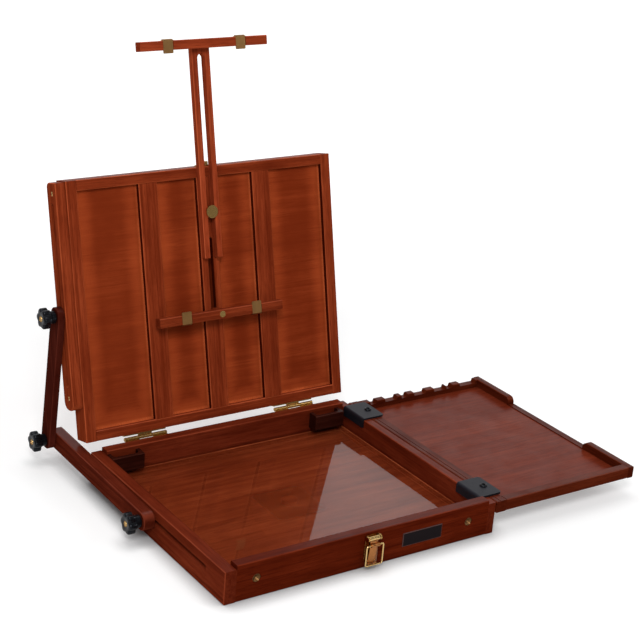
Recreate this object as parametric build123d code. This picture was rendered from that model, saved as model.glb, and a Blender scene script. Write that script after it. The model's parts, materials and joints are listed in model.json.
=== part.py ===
"""Pochade box: a shallow hardwood paint box whose lid is the easel.

Frame, in millimetres: x to the painter's right, y to the back, z up. The origin is the centre of
the base's underside. The box stands open: the lid leans back, the clamp bars are a canvas height
apart, and the side tray hangs on the right wall.

Lid pieces are drawn in the lid's own directions and then placed: x as above, u up the lid from
its hinged edge, n out of the lid's front towards the painter.
"""
from build123d import *
from math import cos, hypot, radians, sin, sqrt
import os

os.makedirs("parts", exist_ok=True)

# ---------------------------------------------------------------- overall sizes
BOX_WIDTH = 325.0
BOX_DEPTH = 276.0
BASE_HEIGHT = 39.0  # the front and back walls
LID_THICKNESS = 23.0
LID_LEAN = 13.5  # degrees behind upright, as the box stands open

# ---------------------------------------------------------------- clearances
FIT_GAP = 0.1  # radial, between a pin or bolt and what turns on it
SEAT_GAP = 0.05  # radial, round a pin or screw that stays put
SLIDE_GAP = 0.3  # between pieces that move past each other
GLASS_GAP = 0.3  # round the loose palette glass
EASE = 0.8  # bevel that takes the sharpness off the wood
FINE_EASE = 0.4

# ---------------------------------------------------------------- base
SIDE_DROP = 4.0  # the side walls stop this far below the front and back walls
END_WALL = 12.0  # front and back walls
LEFT_WALL = 13.0
RIGHT_WALL = 10.0
SOCKET_PLATE = 5.0
SOCKET_PLATE_SIDE = 60.0
SOCKET_BOSS_RADIUS = 8.0
SOCKET_BOSS_HEIGHT = 3.7
SOCKET_TOP_GAP = 0.5  # over the boss, in its pocket under the floor panel
SOCKET_BORE_RADIUS = 4.0
FLOOR_THICKNESS = 6.0
GLASS_THICKNESS = 3.0
BLOCK_WIDTH = 38.0
BLOCK_DEPTH = 13.0
BLOCK_HEIGHT = 17.8
BLOCK_RIM = 4.0
BLOCK_RECESS = 5.5
BLOCK_RIGHT_GAP = 7.2  # room for the tray bracket's inner leg
INSERT_INSET = 35.2  # from the box's side faces
INSERT_Z = 20.6
INSERT_RADIUS = 4.6
INSERT_BORE = 3.2
INSERT_LENGTH = 9.5
INSERT_SET_BACK = 0.5
NAME_PLATE_X = 68.0
NAME_PLATE_Z = 19.5
NAME_PLATE_WIDTH = 49.0
NAME_PLATE_HEIGHT = 15.0
NAME_PLATE_THICKNESS = 0.9

# ---------------------------------------------------------------- slot in the left wall
ARM_Z = 22.0  # height of the slot and of the lower arm
SLOT_FRONT_INSET = 37.0  # from the front face to the front end centre
SLOT_BACK_INSET = 126.0  # from the back face to the back end centre
SLOT_OUTER_DEPTH = 7.0
NUT_TRACK_WIDTH = 12.0

# ---------------------------------------------------------------- hinges
HINGE_INSET = 67.5  # from the box's side faces to the middle of a hinge
HINGE_LENGTH = 51.0
HINGE_KNUCKLES = 3
HINGE_OUT = 4.5  # hinge axis behind the back wall
KNUCKLE_RADIUS = 2.0
KNUCKLE_GAP = 0.3
HINGE_PIN_RADIUS = 1.0
LEAF_THICKNESS = 1.2
LEAF_HEIGHT = 17.0

# ---------------------------------------------------------------- lid
LID_OVERHANG = 2.0  # past the base's left face
SIDE_RAIL = 12.0
CROSS_RAIL = 11.0
STILE_WIDTH = 22.0
STILE_X = 70.0
PANEL_SET_BACK = 5.5
PANEL_THICKNESS = 3.0
BACK_PANEL_THICKNESS = 3.0
TRACK_PLAY = 0.8  # on each side of the lower bar's stud, in its slot through the middle stile
TRACK_LOW_U = 117.0
TRACK_TOP_GAP = 31.0  # from the slot's upper end centre to the mast bolt
MAST_BOLT_INSET = 48.0  # from the lid's free edge
BOLT_HEAD_RADIUS = 7.0
BOLT_HEAD_THICKNESS = 2.4

# ---------------------------------------------------------------- side bar on the lid
SIDE_BAR_THICKNESS = 11.2
SIDE_BAR_WIDTH = 21.0
SIDE_BAR_SET_BACK = 2.0
SIDE_BAR_BOTTOM_U = 35.0
SIDE_BAR_TOP_GAP = 1.0
SIDE_BAR_ROUND = 9.0
SIDE_BAR_CORNER = 5.0
SIDE_SLOT_BOTTOM_INSET = 27.0  # from the bar's ends to the groove's end centres
SIDE_SLOT_TOP_INSET = 24.0
SIDE_SLOT_LIP = 3.0
SIDE_SLOT_TRACK_WIDTH = 10.0
SIDE_SLOT_TRACK_DEPTH = 4.0
SIDE_SCREW_INSET = 11.5
SIDE_SCREW_LOW_INSET = 13.0
SIDE_SCREW_RADIUS = 3.4
SIDE_SCREW_LENGTH = 5.0
SIDE_SCREW_SET_BACK = 0.5

# ---------------------------------------------------------------- arms, bolts and knobs
ARM_GAP = 0.5
LOWER_ARM_THICKNESS = 12.2
LOWER_ARM_WIDTH = 20.0
FRONT_PIVOT_INSET = 7.0  # in front of the slot's back end centre
REAR_PIVOT_OUT = 67.0  # behind the box
REAR_PIVOT_RISE = 2.8  # above the front pivot, as the box stands open
UPPER_ARM_THICKNESS = 7.3
UPPER_ARM_WIDTH = 20.0
ARM_END_FLAT = 1.0  # left straight at an arm's rounded end
TOP_PIVOT_U = 136.5
BOLT_RADIUS = 2.5
NUT_LENGTH = 18.0
NUT_SET_BACK = 0.5  # behind the wall's inner face
SUNK_HEAD_RADIUS = 5.0
SUNK_HEAD_THICKNESS = 3.0
SUNK_HEAD_SET_BACK = 0.2
KNOB_GAP = 0.4
KNOB_RADIUS = 11.2
KNOB_HEAD = 8.6
KNOB_NECK = 7.0
KNOB_NECK_RADIUS = 6.7
KNOB_LOBES = 6
KNOB_FLUTE_RADIUS = 5.0
KNOB_FLUTE_OFFSET = 2.8
KNOB_CREST_ROUND = 1.2
BOLT_END_SET_BACK = 0.6

# ---------------------------------------------------------------- mast and clamp bars
CANVAS_HEIGHT = 279.4  # the clear height between the bars as the box stands open
MAST_WIDTH = 22.0
MAST_THICKNESS = 7.7
MAST_TAIL = 50.0  # below the mast bolt
MAST_SLOT = 9.0
MAST_SLOT_TOP_MARGIN = 20.0
BAR_LENGTH = 154.0
BAR_HEIGHT = 10.0
BAR_DEPTH = 10.2
STUD_HEAD_RADIUS = 3.5
STUD_HEAD_THICKNESS = 2.0
CLIP_X = 44.0
CLIP_WIDTH = 11.6
CLIP_THICKNESS = 1.2
CLIP_TONGUE = 3.3
CLIP_BARREL_RADIUS = 2.2
CLIP_PIN_RADIUS = 1.1
CLIP_PIN_LENGTH = 15.0
CLIP_PIN_INSET = 0.6
CLIP_FRONT_SET_BACK = 0.4
CLIP_SIDE_GAP = 0.4

# ---------------------------------------------------------------- draw latch
LATCH_X = 4.0
LATCH_PLATE = 1.2
LATCH_PLATE_WIDTH = 16.0
LATCH_PLATE_BOTTOM_Z = 9.0
LATCH_PIVOT_DROP = 5.4  # lever pivot below the base's rim
LATCH_PIVOT_OUT = 3.4  # lever pivot in front of the plate
LATCH_EAR = 1.5
LATCH_EAR_RADIUS = 2.6
LATCH_RIVET_RADIUS = 1.2
LEVER_BARREL_RADIUS = 2.4
LEVER_THICKNESS = 1.4
LEVER_WIDTH = 10.0
LEVER_TIP_Z = 5.3
LEVER_TIP_OUT = 3.0
LEVER_TIP_ROLL = 1.1
BAIL_PIVOT_OUT = 2.9  # in front of the lever's pivot
BAIL_PIVOT_DROP = 6.1
BAIL_BOSS_RADIUS = 2.1
BAIL_WIRE_RADIUS = 0.9
BAIL_WIDTH = 19.8  # between the wire's centres
BAIL_LENGTH = 21.9
BAIL_BEND = 2.4
BAIL_STUB_GRIP = 3.0
CATCH_PLATE_WIDTH = 14.0
CATCH_PLATE_HEIGHT = 15.0
CATCH_HOOK_WIDTH = 9.0
CATCH_HOOK_GAP = 0.4
CATCH_LIP = 3.2

# ---------------------------------------------------------------- side tray
TRAY_GAP = 0.8
TRAY_WIDTH = 194.0
TRAY_DEPTH = 268.0
TRAY_HEIGHT = 13.0
TRAY_LEFT_WALL = 13.5
TRAY_RIGHT_WALL = 8.0
TRAY_FRONT_WALL = 10.0
TRAY_BACK_WALL = 8.0
TRAY_FLOOR = 3.5
TRAY_LINE_X = 5.0  # scribed line along the left wall, from the tray's left face
TRAY_LINE_WIDTH = 1.0
TRAY_LINE_DEPTH = 0.8
NOTCH_DEPTH = 4.0
NOTCH_FLARE = 1.5
SMALL_NOTCH_WIDTH = 7.5
LARGE_NOTCH_WIDTH = 16.0
WIDE_NOTCH_WIDTH = 23.0
SMALL_NOTCHES = (30.7, 75.7, 142.7)  # from the tray's left face
LARGE_NOTCHES = (56.2, 98.7, 128.2)
WIDE_NOTCH_INSET = 23.3  # from the tray's right face
CUT_OUT_LENGTH = 128.0
CUT_OUT_DEPTH = 8.5
CUT_OUT_CENTRE_Y = -1.0
CUT_OUT_ROUND = 7.5
BRACKET_THICKNESS = 2.0
BRACKET_LENGTH = 38.0
BRACKET_FRONT_GAP = 1.0  # to the end walls' inner faces
BRACKET_BACK_GAP = 5.0
BRACKET_LEG = 9.0
BRACKET_OVERHANG = 3.2  # past the tray's left wall
BRACKET_REST_GAP = 0.2
BRACKET_BEND = 3.0
BRACKET_SCREW_X = 7.5  # from the tray's left face
BRACKET_SCREW_HEAD_RADIUS = 4.0
BRACKET_SCREW_HEAD = 1.8
BRACKET_SCREW_RADIUS = 1.9
BRACKET_SCREW_LENGTH = 9.0

# ---------------------------------------------------------------- places that several pieces share
LEFT_X = -BOX_WIDTH / 2
RIGHT_X = BOX_WIDTH / 2
FRONT_Y = -BOX_DEPTH / 2
BACK_Y = BOX_DEPTH / 2
LEFT_INNER_X = LEFT_X + LEFT_WALL
LID_LEFT_X = LEFT_X - LID_OVERHANG
RIGHT_INNER_X = RIGHT_X - RIGHT_WALL
INNER_HALF_DEPTH = BACK_Y - END_WALL
SIDE_HEIGHT = BASE_HEIGHT - SIDE_DROP
FLOOR_Z = SOCKET_PLATE
GLASS_Z = FLOOR_Z + FLOOR_THICKNESS
HINGE_Y = BACK_Y + HINGE_OUT
LID_HEIGHT = BOX_DEPTH
INSERT_X = BOX_WIDTH / 2 - INSERT_INSET
HINGE_X = BOX_WIDTH / 2 - HINGE_INSET
SLOT_WIDTH = 2 * (BOLT_RADIUS + SLIDE_GAP)
SLOT_FRONT_Y = FRONT_Y + SLOT_FRONT_INSET
SLOT_BACK_Y = BACK_Y - SLOT_BACK_INSET
FRONT_PIVOT_Y = SLOT_BACK_Y - FRONT_PIVOT_INSET
REAR_PIVOT_Y = BACK_Y + REAR_PIVOT_OUT
REAR_PIVOT_Z = ARM_Z + REAR_PIVOT_RISE
PANEL_BACK_N = -PANEL_SET_BACK - PANEL_THICKNESS
BACK_PANEL_N = -LID_THICKNESS + BACK_PANEL_THICKNESS
LEAN_COS = cos(radians(LID_LEAN))
LEAN_SIN = sin(radians(LID_LEAN))
LID_PLACE = Plane(
    origin=(0, HINGE_Y + HINGE_OUT * LEAN_SIN, BASE_HEIGHT + HINGE_OUT * LEAN_COS),
    x_dir=(1, 0, 0),
    z_dir=(0, -LEAN_COS, LEAN_SIN),
).location
TRACK_SLOT = 2 * (BOLT_RADIUS + TRACK_PLAY)
MAST_BOLT_U = LID_HEIGHT - MAST_BOLT_INSET
TRACK_HIGH_U = MAST_BOLT_U - TRACK_TOP_GAP
MAST_BOTTOM_U = MAST_BOLT_U - MAST_TAIL
MAST_BACK_N = SLIDE_GAP
TOP_BAR_N = MAST_BACK_N + MAST_THICKNESS
LOW_BAR_N = TOP_BAR_N + SLIDE_GAP
BAR_FRONT_N = LOW_BAR_N + BAR_DEPTH
LOW_BAR_U = TRACK_LOW_U + BAR_HEIGHT / 2  # upper edge of the lower bar
TOP_BAR_U = LOW_BAR_U + CANVAS_HEIGHT  # lower edge of the upper bar
SIDE_BAR_X = LID_LEFT_X - SIDE_BAR_THICKNESS
LOWER_ARM_X = LEFT_X - ARM_GAP
UPPER_ARM_X = min(LOWER_ARM_X - LOWER_ARM_THICKNESS, SIDE_BAR_X) - ARM_GAP
SIDE_BAR_TOP_U = LID_HEIGHT - SIDE_BAR_TOP_GAP
SIDE_SLOT_BOTTOM_U = SIDE_BAR_BOTTOM_U + SIDE_SLOT_BOTTOM_INSET
SIDE_SLOT_TOP_U = SIDE_BAR_TOP_U - SIDE_SLOT_TOP_INSET
SIDE_BAR_BACK_N = -SIDE_BAR_SET_BACK - SIDE_BAR_WIDTH
SIDE_BAR_MID_N = -SIDE_BAR_SET_BACK - SIDE_BAR_WIDTH / 2
TRAY_X = RIGHT_X + TRAY_GAP
TRAY_TOP_Z = SIDE_HEIGHT
TRAY_Z = TRAY_TOP_Z - TRAY_HEIGHT
TRAY_FRONT_Y = FRONT_Y
TRAY_BACK_Y = TRAY_FRONT_Y + TRAY_DEPTH
BRACKET_YS = (
    -INNER_HALF_DEPTH + BRACKET_FRONT_GAP + BRACKET_LENGTH / 2,
    INNER_HALF_DEPTH - BRACKET_BACK_GAP - BRACKET_LENGTH / 2,
)


def block(x, y, z):
    """A box from three (low, high) pairs."""
    size = Box(x[1] - x[0], y[1] - y[0], z[1] - z[0])
    return Pos((x[0] + x[1]) / 2, (y[0] + y[1]) / 2, (z[0] + z[1]) / 2) * size


def rod(start, end, radius):
    """A round bar between two points."""
    start, end = Vector(*start), Vector(*end)
    return extrude(Plane(origin=start, z_dir=end - start) * Circle(radius), (end - start).length)


def rod_x(x, y, z, radius):
    """A round bar along x, from its (low, high) pair."""
    return rod((x[0], y, z), (x[1], y, z), radius)


def slot_y(x, y, z, width):
    """A round-ended slot along y, between two end centres."""
    body = block(x, y, (z - width / 2, z + width / 2))
    return body + rod_x(x, y[0], z, width / 2) + rod_x(x, y[1], z, width / 2)


def slot_u(x, u, n, width):
    """A round-ended slot along u, cut square through the lid, between two end centres."""
    body = block((x - width / 2, x + width / 2), u, n)
    for end in u:
        body += rod((x, end, n[0]), (x, end, n[1]), width / 2)
    return body


def eased(solid, axis, size=EASE):
    """The solid with a small bevel on every edge along one axis."""
    return chamfer(solid.edges().filter_by(axis), size)


def save(name, shape):
    """Write one sub-part."""
    export_step(shape, f"parts/{name}.step")


def on_lid(shape):
    """Place a shape drawn in the lid's x, u and n."""
    return LID_PLACE * shape


def lid_point(u, n):
    """The y and z of a point on the lid as it stands."""
    point = (LID_PLACE * Pos(0, u, n)).position
    return point.Y, point.Z


# ================================================================ base
def insert_places():
    """Face centres of the two threaded inserts in the front wall."""
    return [(side * INSERT_X, FRONT_Y, INSERT_Z) for side in (-1, 1)]


def base_walls():
    """Front and back walls stand between the side walls and rise above them."""
    between = (LEFT_INNER_X, RIGHT_INNER_X)
    front = eased(block(between, (FRONT_Y, FRONT_Y + END_WALL), (0, BASE_HEIGHT)), Axis.X)
    for x, y, z in insert_places():
        depth = INSERT_SET_BACK + INSERT_LENGTH
        front -= rod((x, y - 1, z), (x, y + depth, z), INSERT_RADIUS + SEAT_GAP)
    save("base_front_wall", front)
    back = block(between, (BACK_Y - END_WALL, BACK_Y), (0, BASE_HEIGHT))
    save("base_back_wall", eased(back, Axis.X))

    depth = (FRONT_Y, BACK_Y)
    left = eased(block((LEFT_X, LEFT_INNER_X), depth, (0, SIDE_HEIGHT)), Axis.Y)
    left = chamfer(left.edges().filter_by(Axis.Z).group_by(Axis.X)[0], EASE)
    travel = (SLOT_FRONT_Y, SLOT_BACK_Y)
    left -= slot_y((LEFT_X - 1, LEFT_INNER_X + 1), travel, ARM_Z, SLOT_WIDTH)
    track = (SLOT_FRONT_Y - NUT_LENGTH / 2, SLOT_BACK_Y + NUT_LENGTH / 2)
    left -= block(
        (LEFT_X + SLOT_OUTER_DEPTH, LEFT_INNER_X + 1),
        track,
        (ARM_Z - NUT_TRACK_WIDTH / 2, ARM_Z + NUT_TRACK_WIDTH / 2),
    )
    save("base_left_wall", left)

    right = eased(block((RIGHT_INNER_X, RIGHT_X), depth, (0, SIDE_HEIGHT)), Axis.Y)
    right = chamfer(right.edges().filter_by(Axis.Z).group_by(Axis.X)[-1], EASE)
    save("base_right_wall", right)


def base_inside():
    """Floor panel, palette glass, tripod plate and the two dark rear corner blocks."""
    span_x = (LEFT_INNER_X, RIGHT_INNER_X)
    span_y = (-INNER_HALF_DEPTH, INNER_HALF_DEPTH)
    floor = block(span_x, span_y, (FLOOR_Z, GLASS_Z))
    pocket_top = FLOOR_Z + SOCKET_BOSS_HEIGHT + SOCKET_TOP_GAP
    floor -= rod((0, 0, FLOOR_Z - 1), (0, 0, pocket_top), SOCKET_BOSS_RADIUS + SEAT_GAP)
    save("base_floor", floor)

    glass = block(
        (span_x[0] + GLASS_GAP, span_x[1] - GLASS_GAP),
        (span_y[0] + GLASS_GAP, span_y[1] - GLASS_GAP),
        (GLASS_Z, GLASS_Z + GLASS_THICKNESS),
    )
    save("palette_glass", glass)

    half = SOCKET_PLATE_SIDE / 2
    plate = eased(block((-half, half), (-half, half), (0, SOCKET_PLATE)), Axis.Z, 4.0)
    plate += rod((0, 0, 0), (0, 0, SOCKET_PLATE + SOCKET_BOSS_HEIGHT), SOCKET_BOSS_RADIUS)
    plate -= rod((0, 0, -1), (0, 0, SOCKET_PLATE + SOCKET_BOSS_HEIGHT + 1), SOCKET_BORE_RADIUS)
    save("tripod_plate", plate)

    save("corner_block_left", corner_block(LEFT_INNER_X))
    right_x = RIGHT_INNER_X - BLOCK_RIGHT_GAP - BLOCK_WIDTH
    save("corner_block_right", corner_block(right_x))


def corner_block(x):
    """A block glued to the back wall, with a finger recess routed in its top."""
    y = (INNER_HALF_DEPTH - BLOCK_DEPTH, INNER_HALF_DEPTH)
    body = block((x, x + BLOCK_WIDTH), y, (SIDE_HEIGHT - BLOCK_HEIGHT, SIDE_HEIGHT))
    body = chamfer(body.edges().filter_by(Axis.X).group_by(Axis.Y)[0], EASE)
    recess = block(
        (x + BLOCK_RIM, x + BLOCK_WIDTH - BLOCK_RIM),
        (y[0] + BLOCK_RIM, y[1] + 1),
        (SIDE_HEIGHT - BLOCK_RECESS, SIDE_HEIGHT + 1),
    )
    front = recess.edges().filter_by(Axis.Z).group_by(Axis.Y)[0]
    return body - fillet(front, BLOCK_RIM)


def base_trim():
    """Brass inserts in the front wall and the bare plate beside the latch."""
    inserts = []
    for x, y, z in insert_places():
        face = y + INSERT_SET_BACK
        body = rod((x, face, z), (x, face + INSERT_LENGTH, z), INSERT_RADIUS)
        inserts.append(body - rod((x, face - 1, z), (x, face + INSERT_LENGTH + 1, z), INSERT_BORE))
    save("front_inserts", Compound(inserts))

    plate = block(
        (NAME_PLATE_X - NAME_PLATE_WIDTH / 2, NAME_PLATE_X + NAME_PLATE_WIDTH / 2),
        (FRONT_Y - NAME_PLATE_THICKNESS, FRONT_Y),
        (NAME_PLATE_Z - NAME_PLATE_HEIGHT / 2, NAME_PLATE_Z + NAME_PLATE_HEIGHT / 2),
    )
    save("name_plate", chamfer(plate.faces().sort_by(Axis.Y)[0].edges(), FINE_EASE))


# ================================================================ hinges
def knuckle_spans(centre, first):
    """Every second knuckle of one hinge, as (low, high) pairs along x."""
    pitch = HINGE_LENGTH / HINGE_KNUCKLES
    start = centre - HINGE_LENGTH / 2
    spans = []
    for index in range(first, HINGE_KNUCKLES, 2):
        low = start + index * pitch + KNUCKLE_GAP / 2
        spans.append((low, low + pitch - KNUCKLE_GAP))
    return spans


def hinge_leaf(centre, first):
    """A leaf with its knuckles about the x axis, hanging down on the wall at y = -HINGE_OUT."""
    wall = -HINGE_OUT
    x = (centre - HINGE_LENGTH / 2, centre + HINGE_LENGTH / 2)
    leaf = block(x, (wall, wall + LEAF_THICKNESS), (-LEAF_HEIGHT, -KNUCKLE_RADIUS + LEAF_THICKNESS))
    leaf = chamfer(leaf.edges().filter_by(Axis.Y).group_by(Axis.Z)[0], 1.5)
    for span in knuckle_spans(centre, first):
        leaf += block(span, (wall, 0), (-KNUCKLE_RADIUS, -KNUCKLE_RADIUS + LEAF_THICKNESS))
        leaf += rod_x(span, 0, 0, KNUCKLE_RADIUS)
    return leaf - rod_x((x[0] - 1, x[1] + 1), 0, 0, HINGE_PIN_RADIUS + FIT_GAP)


def hinges():
    """Two brass butt hinges on the outside, with the lid's leaves turned with the lid."""
    axis_place = Pos(0, HINGE_Y, BASE_HEIGHT)
    opened = 90 + LID_LEAN
    base_leaves = [axis_place * hinge_leaf(side * HINGE_X, 0) for side in (-1, 1)]
    save("hinge_base_leaves", Compound(base_leaves))
    lid_leaves = []
    for side in (-1, 1):
        closed = mirror(hinge_leaf(side * HINGE_X, 1), Plane.XY)
        lid_leaves.append(axis_place * Rot(-opened, 0, 0) * closed)
    save("hinge_lid_leaves", Compound(lid_leaves))
    pins = []
    for side in (-1, 1):
        low = side * HINGE_X - HINGE_LENGTH / 2
        pins.append(rod_x((low, low + HINGE_LENGTH), HINGE_Y, BASE_HEIGHT, HINGE_PIN_RADIUS))
    save("hinge_pins", Compound(pins))


# ================================================================ lid
def lid_frame():
    """Four rails, two thin panels with a hollow between them, three stiles and a core rib."""
    thick = (-LID_THICKNESS, 0)
    height = (0, LID_HEIGHT)
    left = eased(block((LID_LEFT_X, LID_LEFT_X + SIDE_RAIL), height, thick), Axis.Y)
    save("lid_left_rail", on_lid(left))
    right = eased(block((RIGHT_X - SIDE_RAIL, RIGHT_X), height, thick), Axis.Y)
    save("lid_right_rail", on_lid(right))
    inner = (LID_LEFT_X + SIDE_RAIL, RIGHT_X - SIDE_RAIL)
    save("lid_bottom_rail", on_lid(eased(block(inner, (0, CROSS_RAIL), thick), Axis.X)))
    top = (LID_HEIGHT - CROSS_RAIL, LID_HEIGHT)
    save("lid_top_rail", on_lid(eased(block(inner, top, thick), Axis.X)))

    opening = (CROSS_RAIL, LID_HEIGHT - CROSS_RAIL)
    through = (-LID_THICKNESS - 1, 1)
    track = slot_u(0, (TRACK_LOW_U, TRACK_HIGH_U), through, TRACK_SLOT)
    bolt_hole = rod((0, MAST_BOLT_U, through[0]), (0, MAST_BOLT_U, 1), BOLT_RADIUS + SEAT_GAP)
    cuts = track + bolt_hole
    save("lid_front_panel", on_lid(block(inner, opening, (PANEL_BACK_N, -PANEL_SET_BACK)) - cuts))
    save("lid_back_panel", on_lid(block(inner, opening, (-LID_THICKNESS, BACK_PANEL_N)) - cuts))
    middle = (-STILE_WIDTH / 2, STILE_WIDTH / 2)
    save("lid_core_rib", on_lid(block(middle, opening, (BACK_PANEL_N, PANEL_BACK_N)) - cuts))
    for name, x in (("left", -STILE_X), ("middle", 0), ("right", STILE_X)):
        stile = block((x - STILE_WIDTH / 2, x + STILE_WIDTH / 2), opening, (-PANEL_SET_BACK, 0))
        stile = chamfer(stile.edges().filter_by(Axis.Y).group_by(Axis.Z)[-1], EASE)
        save(f"lid_stile_{name}", on_lid(stile - cuts))


def side_bar():
    """The grooved bar that the upper arm's knob clamps to, screwed on the lid's left edge."""
    n = (SIDE_BAR_BACK_N, -SIDE_BAR_SET_BACK)
    bar = block((SIDE_BAR_X, LID_LEFT_X), (SIDE_BAR_BOTTOM_U, SIDE_BAR_TOP_U), n)
    across = bar.edges().filter_by(Axis.X)
    bar = fillet(across.group_by(Axis.Y)[0], SIDE_BAR_ROUND)
    back_top = bar.edges().filter_by(Axis.X).group_by(Axis.Y)[-1].sort_by(Axis.Z)[0]
    bar = fillet(back_top, SIDE_BAR_CORNER)
    bar = chamfer(bar.faces().sort_by(Axis.X)[0].edges(), EASE)
    lip = SIDE_BAR_X + SIDE_SLOT_LIP
    slot = (SIDE_SLOT_BOTTOM_U, SIDE_SLOT_TOP_U)
    half = SLOT_WIDTH / 2
    bar -= block((SIDE_BAR_X - 1, lip + 1), slot, (SIDE_BAR_MID_N - half, SIDE_BAR_MID_N + half))
    for end in slot:
        bar -= rod_x((SIDE_BAR_X - 1, lip), end, SIDE_BAR_MID_N, half)
    half = SIDE_SLOT_TRACK_WIDTH / 2
    track = (lip, lip + SIDE_SLOT_TRACK_DEPTH)
    bar -= block(track, slot, (SIDE_BAR_MID_N - half, SIDE_BAR_MID_N + half))
    screws = []
    for u in (SIDE_BAR_BOTTOM_U + SIDE_SCREW_LOW_INSET, SIDE_BAR_TOP_U - SIDE_SCREW_INSET):
        face = SIDE_BAR_X + SIDE_SCREW_SET_BACK
        deep = face + SIDE_SCREW_LENGTH
        bar -= rod_x((SIDE_BAR_X - 1, deep), u, SIDE_BAR_MID_N, SIDE_SCREW_RADIUS + SEAT_GAP)
        screws.append(rod_x((face, deep), u, SIDE_BAR_MID_N, SIDE_SCREW_RADIUS))
    save("side_bar", on_lid(bar))
    save("side_bar_screws", on_lid(Compound(screws)))


# ================================================================ knobs
def knob(bolt_radius):
    """A fluted clamp knob standing on z = 0 with its neck down."""
    outline = Circle(KNOB_RADIUS)
    flutes = PolarLocations(KNOB_RADIUS + KNOB_FLUTE_OFFSET, KNOB_LOBES)
    outline -= [place * Circle(KNOB_FLUTE_RADIUS) for place in flutes]
    outline = fillet(outline.vertices(), KNOB_CREST_ROUND)
    head = extrude(Pos(0, 0, KNOB_NECK) * outline, KNOB_HEAD)
    neck = rod((0, 0, 0), (0, 0, KNOB_NECK), KNOB_NECK_RADIUS)
    reach = (0, 0, KNOB_NECK + KNOB_HEAD + 1)
    return head + neck - rod((0, 0, -1), reach, bolt_radius + FIT_GAP)


def left_knob(face_x, y, z):
    """A knob whose neck stands on a face that looks to the left."""
    place = Plane(origin=(face_x - KNOB_GAP, y, z), x_dir=(0, 0, 1), z_dir=(-1, 0, 0))
    return place.location * knob(BOLT_RADIUS)


def left_bolt(head_x, face_x, y, z):
    """A bolt with its head sunk at head_x, running out to the left through a knob on face_x."""
    end = face_x - KNOB_GAP - KNOB_NECK - KNOB_HEAD + BOLT_END_SET_BACK
    bolt = rod_x((end, head_x), y, z, BOLT_RADIUS)
    return bolt + rod_x((head_x - SUNK_HEAD_THICKNESS, head_x), y, z, SUNK_HEAD_RADIUS)


# ================================================================ arms
def arm(start, end, width, face_x, thickness):
    """A flat bar between two pivots, with rounded ends and eased outline."""
    run, rise = end[0] - start[0], end[1] - start[1]
    length = hypot(run, rise)
    place = Plane(
        origin=(face_x, (start[0] + end[0]) / 2, (start[1] + end[1]) / 2),
        x_dir=(0, run / length, rise / length),
        z_dir=(-1, 0, 0),
    )
    body = extrude(RectangleRounded(length + width, width, (width - ARM_END_FLAT) / 2), thickness)
    body = chamfer(body.faces().sort_by(Axis.Z)[-1].edges(), EASE)
    return place.location * body


def bored(body, pivot, face_x, thickness, clearance):
    """The arm with a bolt hole through it."""
    through = (face_x - thickness - 1, face_x + 1)
    return body - rod_x(through, *pivot, BOLT_RADIUS + clearance)


def sunk(body, pivot, face_x):
    """The arm with a pocket for a sunk bolt head in its inner face."""
    deep = face_x - SUNK_HEAD_SET_BACK - SUNK_HEAD_THICKNESS
    return body - rod_x((deep, face_x + 1), *pivot, SUNK_HEAD_RADIUS + SEAT_GAP)


def support_arms():
    """Lower arm on the slotted wall, upper arm up to the side bar, and their bolts and knobs."""
    front = (FRONT_PIVOT_Y, ARM_Z)
    rear = (REAR_PIVOT_Y, REAR_PIVOT_Z)
    top = lid_point(TOP_PIVOT_U, SIDE_BAR_MID_N)
    lower_face = LOWER_ARM_X - LOWER_ARM_THICKNESS
    upper_face = UPPER_ARM_X - UPPER_ARM_THICKNESS

    lower = arm(front, rear, LOWER_ARM_WIDTH, LOWER_ARM_X, LOWER_ARM_THICKNESS)
    lower = bored(lower, front, LOWER_ARM_X, LOWER_ARM_THICKNESS, FIT_GAP)
    lower = bored(lower, rear, LOWER_ARM_X, LOWER_ARM_THICKNESS, SEAT_GAP)
    save("lower_arm", sunk(lower, rear, LOWER_ARM_X))
    upper = arm(rear, top, UPPER_ARM_WIDTH, UPPER_ARM_X, UPPER_ARM_THICKNESS)
    upper = bored(upper, rear, UPPER_ARM_X, UPPER_ARM_THICKNESS, FIT_GAP)
    upper = bored(upper, top, UPPER_ARM_X, UPPER_ARM_THICKNESS, SEAT_GAP)
    save("upper_arm", sunk(upper, top, UPPER_ARM_X))

    nut_x = LEFT_X + SLOT_OUTER_DEPTH + SLIDE_GAP
    half = NUT_TRACK_WIDTH / 2 - SLIDE_GAP
    nut = block(
        (nut_x, LEFT_INNER_X - NUT_SET_BACK),
        (front[0] - NUT_LENGTH / 2, front[0] + NUT_LENGTH / 2),
        (ARM_Z - half, ARM_Z + half),
    )
    end = lower_face - KNOB_GAP - KNOB_NECK - KNOB_HEAD + BOLT_END_SET_BACK
    save("front_bolt", nut + rod_x((end, nut_x), *front, BOLT_RADIUS))
    save("rear_bolt", left_bolt(LOWER_ARM_X - SUNK_HEAD_SET_BACK, upper_face, *rear))
    save("top_bolt", left_bolt(UPPER_ARM_X - SUNK_HEAD_SET_BACK, upper_face, *top))
    save("front_knob", left_knob(lower_face, *front))
    save("rear_knob", left_knob(upper_face, *rear))
    save("top_knob", left_knob(upper_face, *top))


# ================================================================ mast and clamp bars
def back_knob(u):
    """A knob behind the lid, on a bolt that comes through it at this height."""
    place = Plane(origin=(0, u, -LID_THICKNESS - KNOB_GAP), x_dir=(1, 0, 0), z_dir=(0, 0, -1))
    return place.location * knob(BOLT_RADIUS)


def back_bolt_end():
    """Where a bolt ends inside a knob behind the lid."""
    return -LID_THICKNESS - KNOB_GAP - KNOB_NECK - KNOB_HEAD + BOLT_END_SET_BACK


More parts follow.
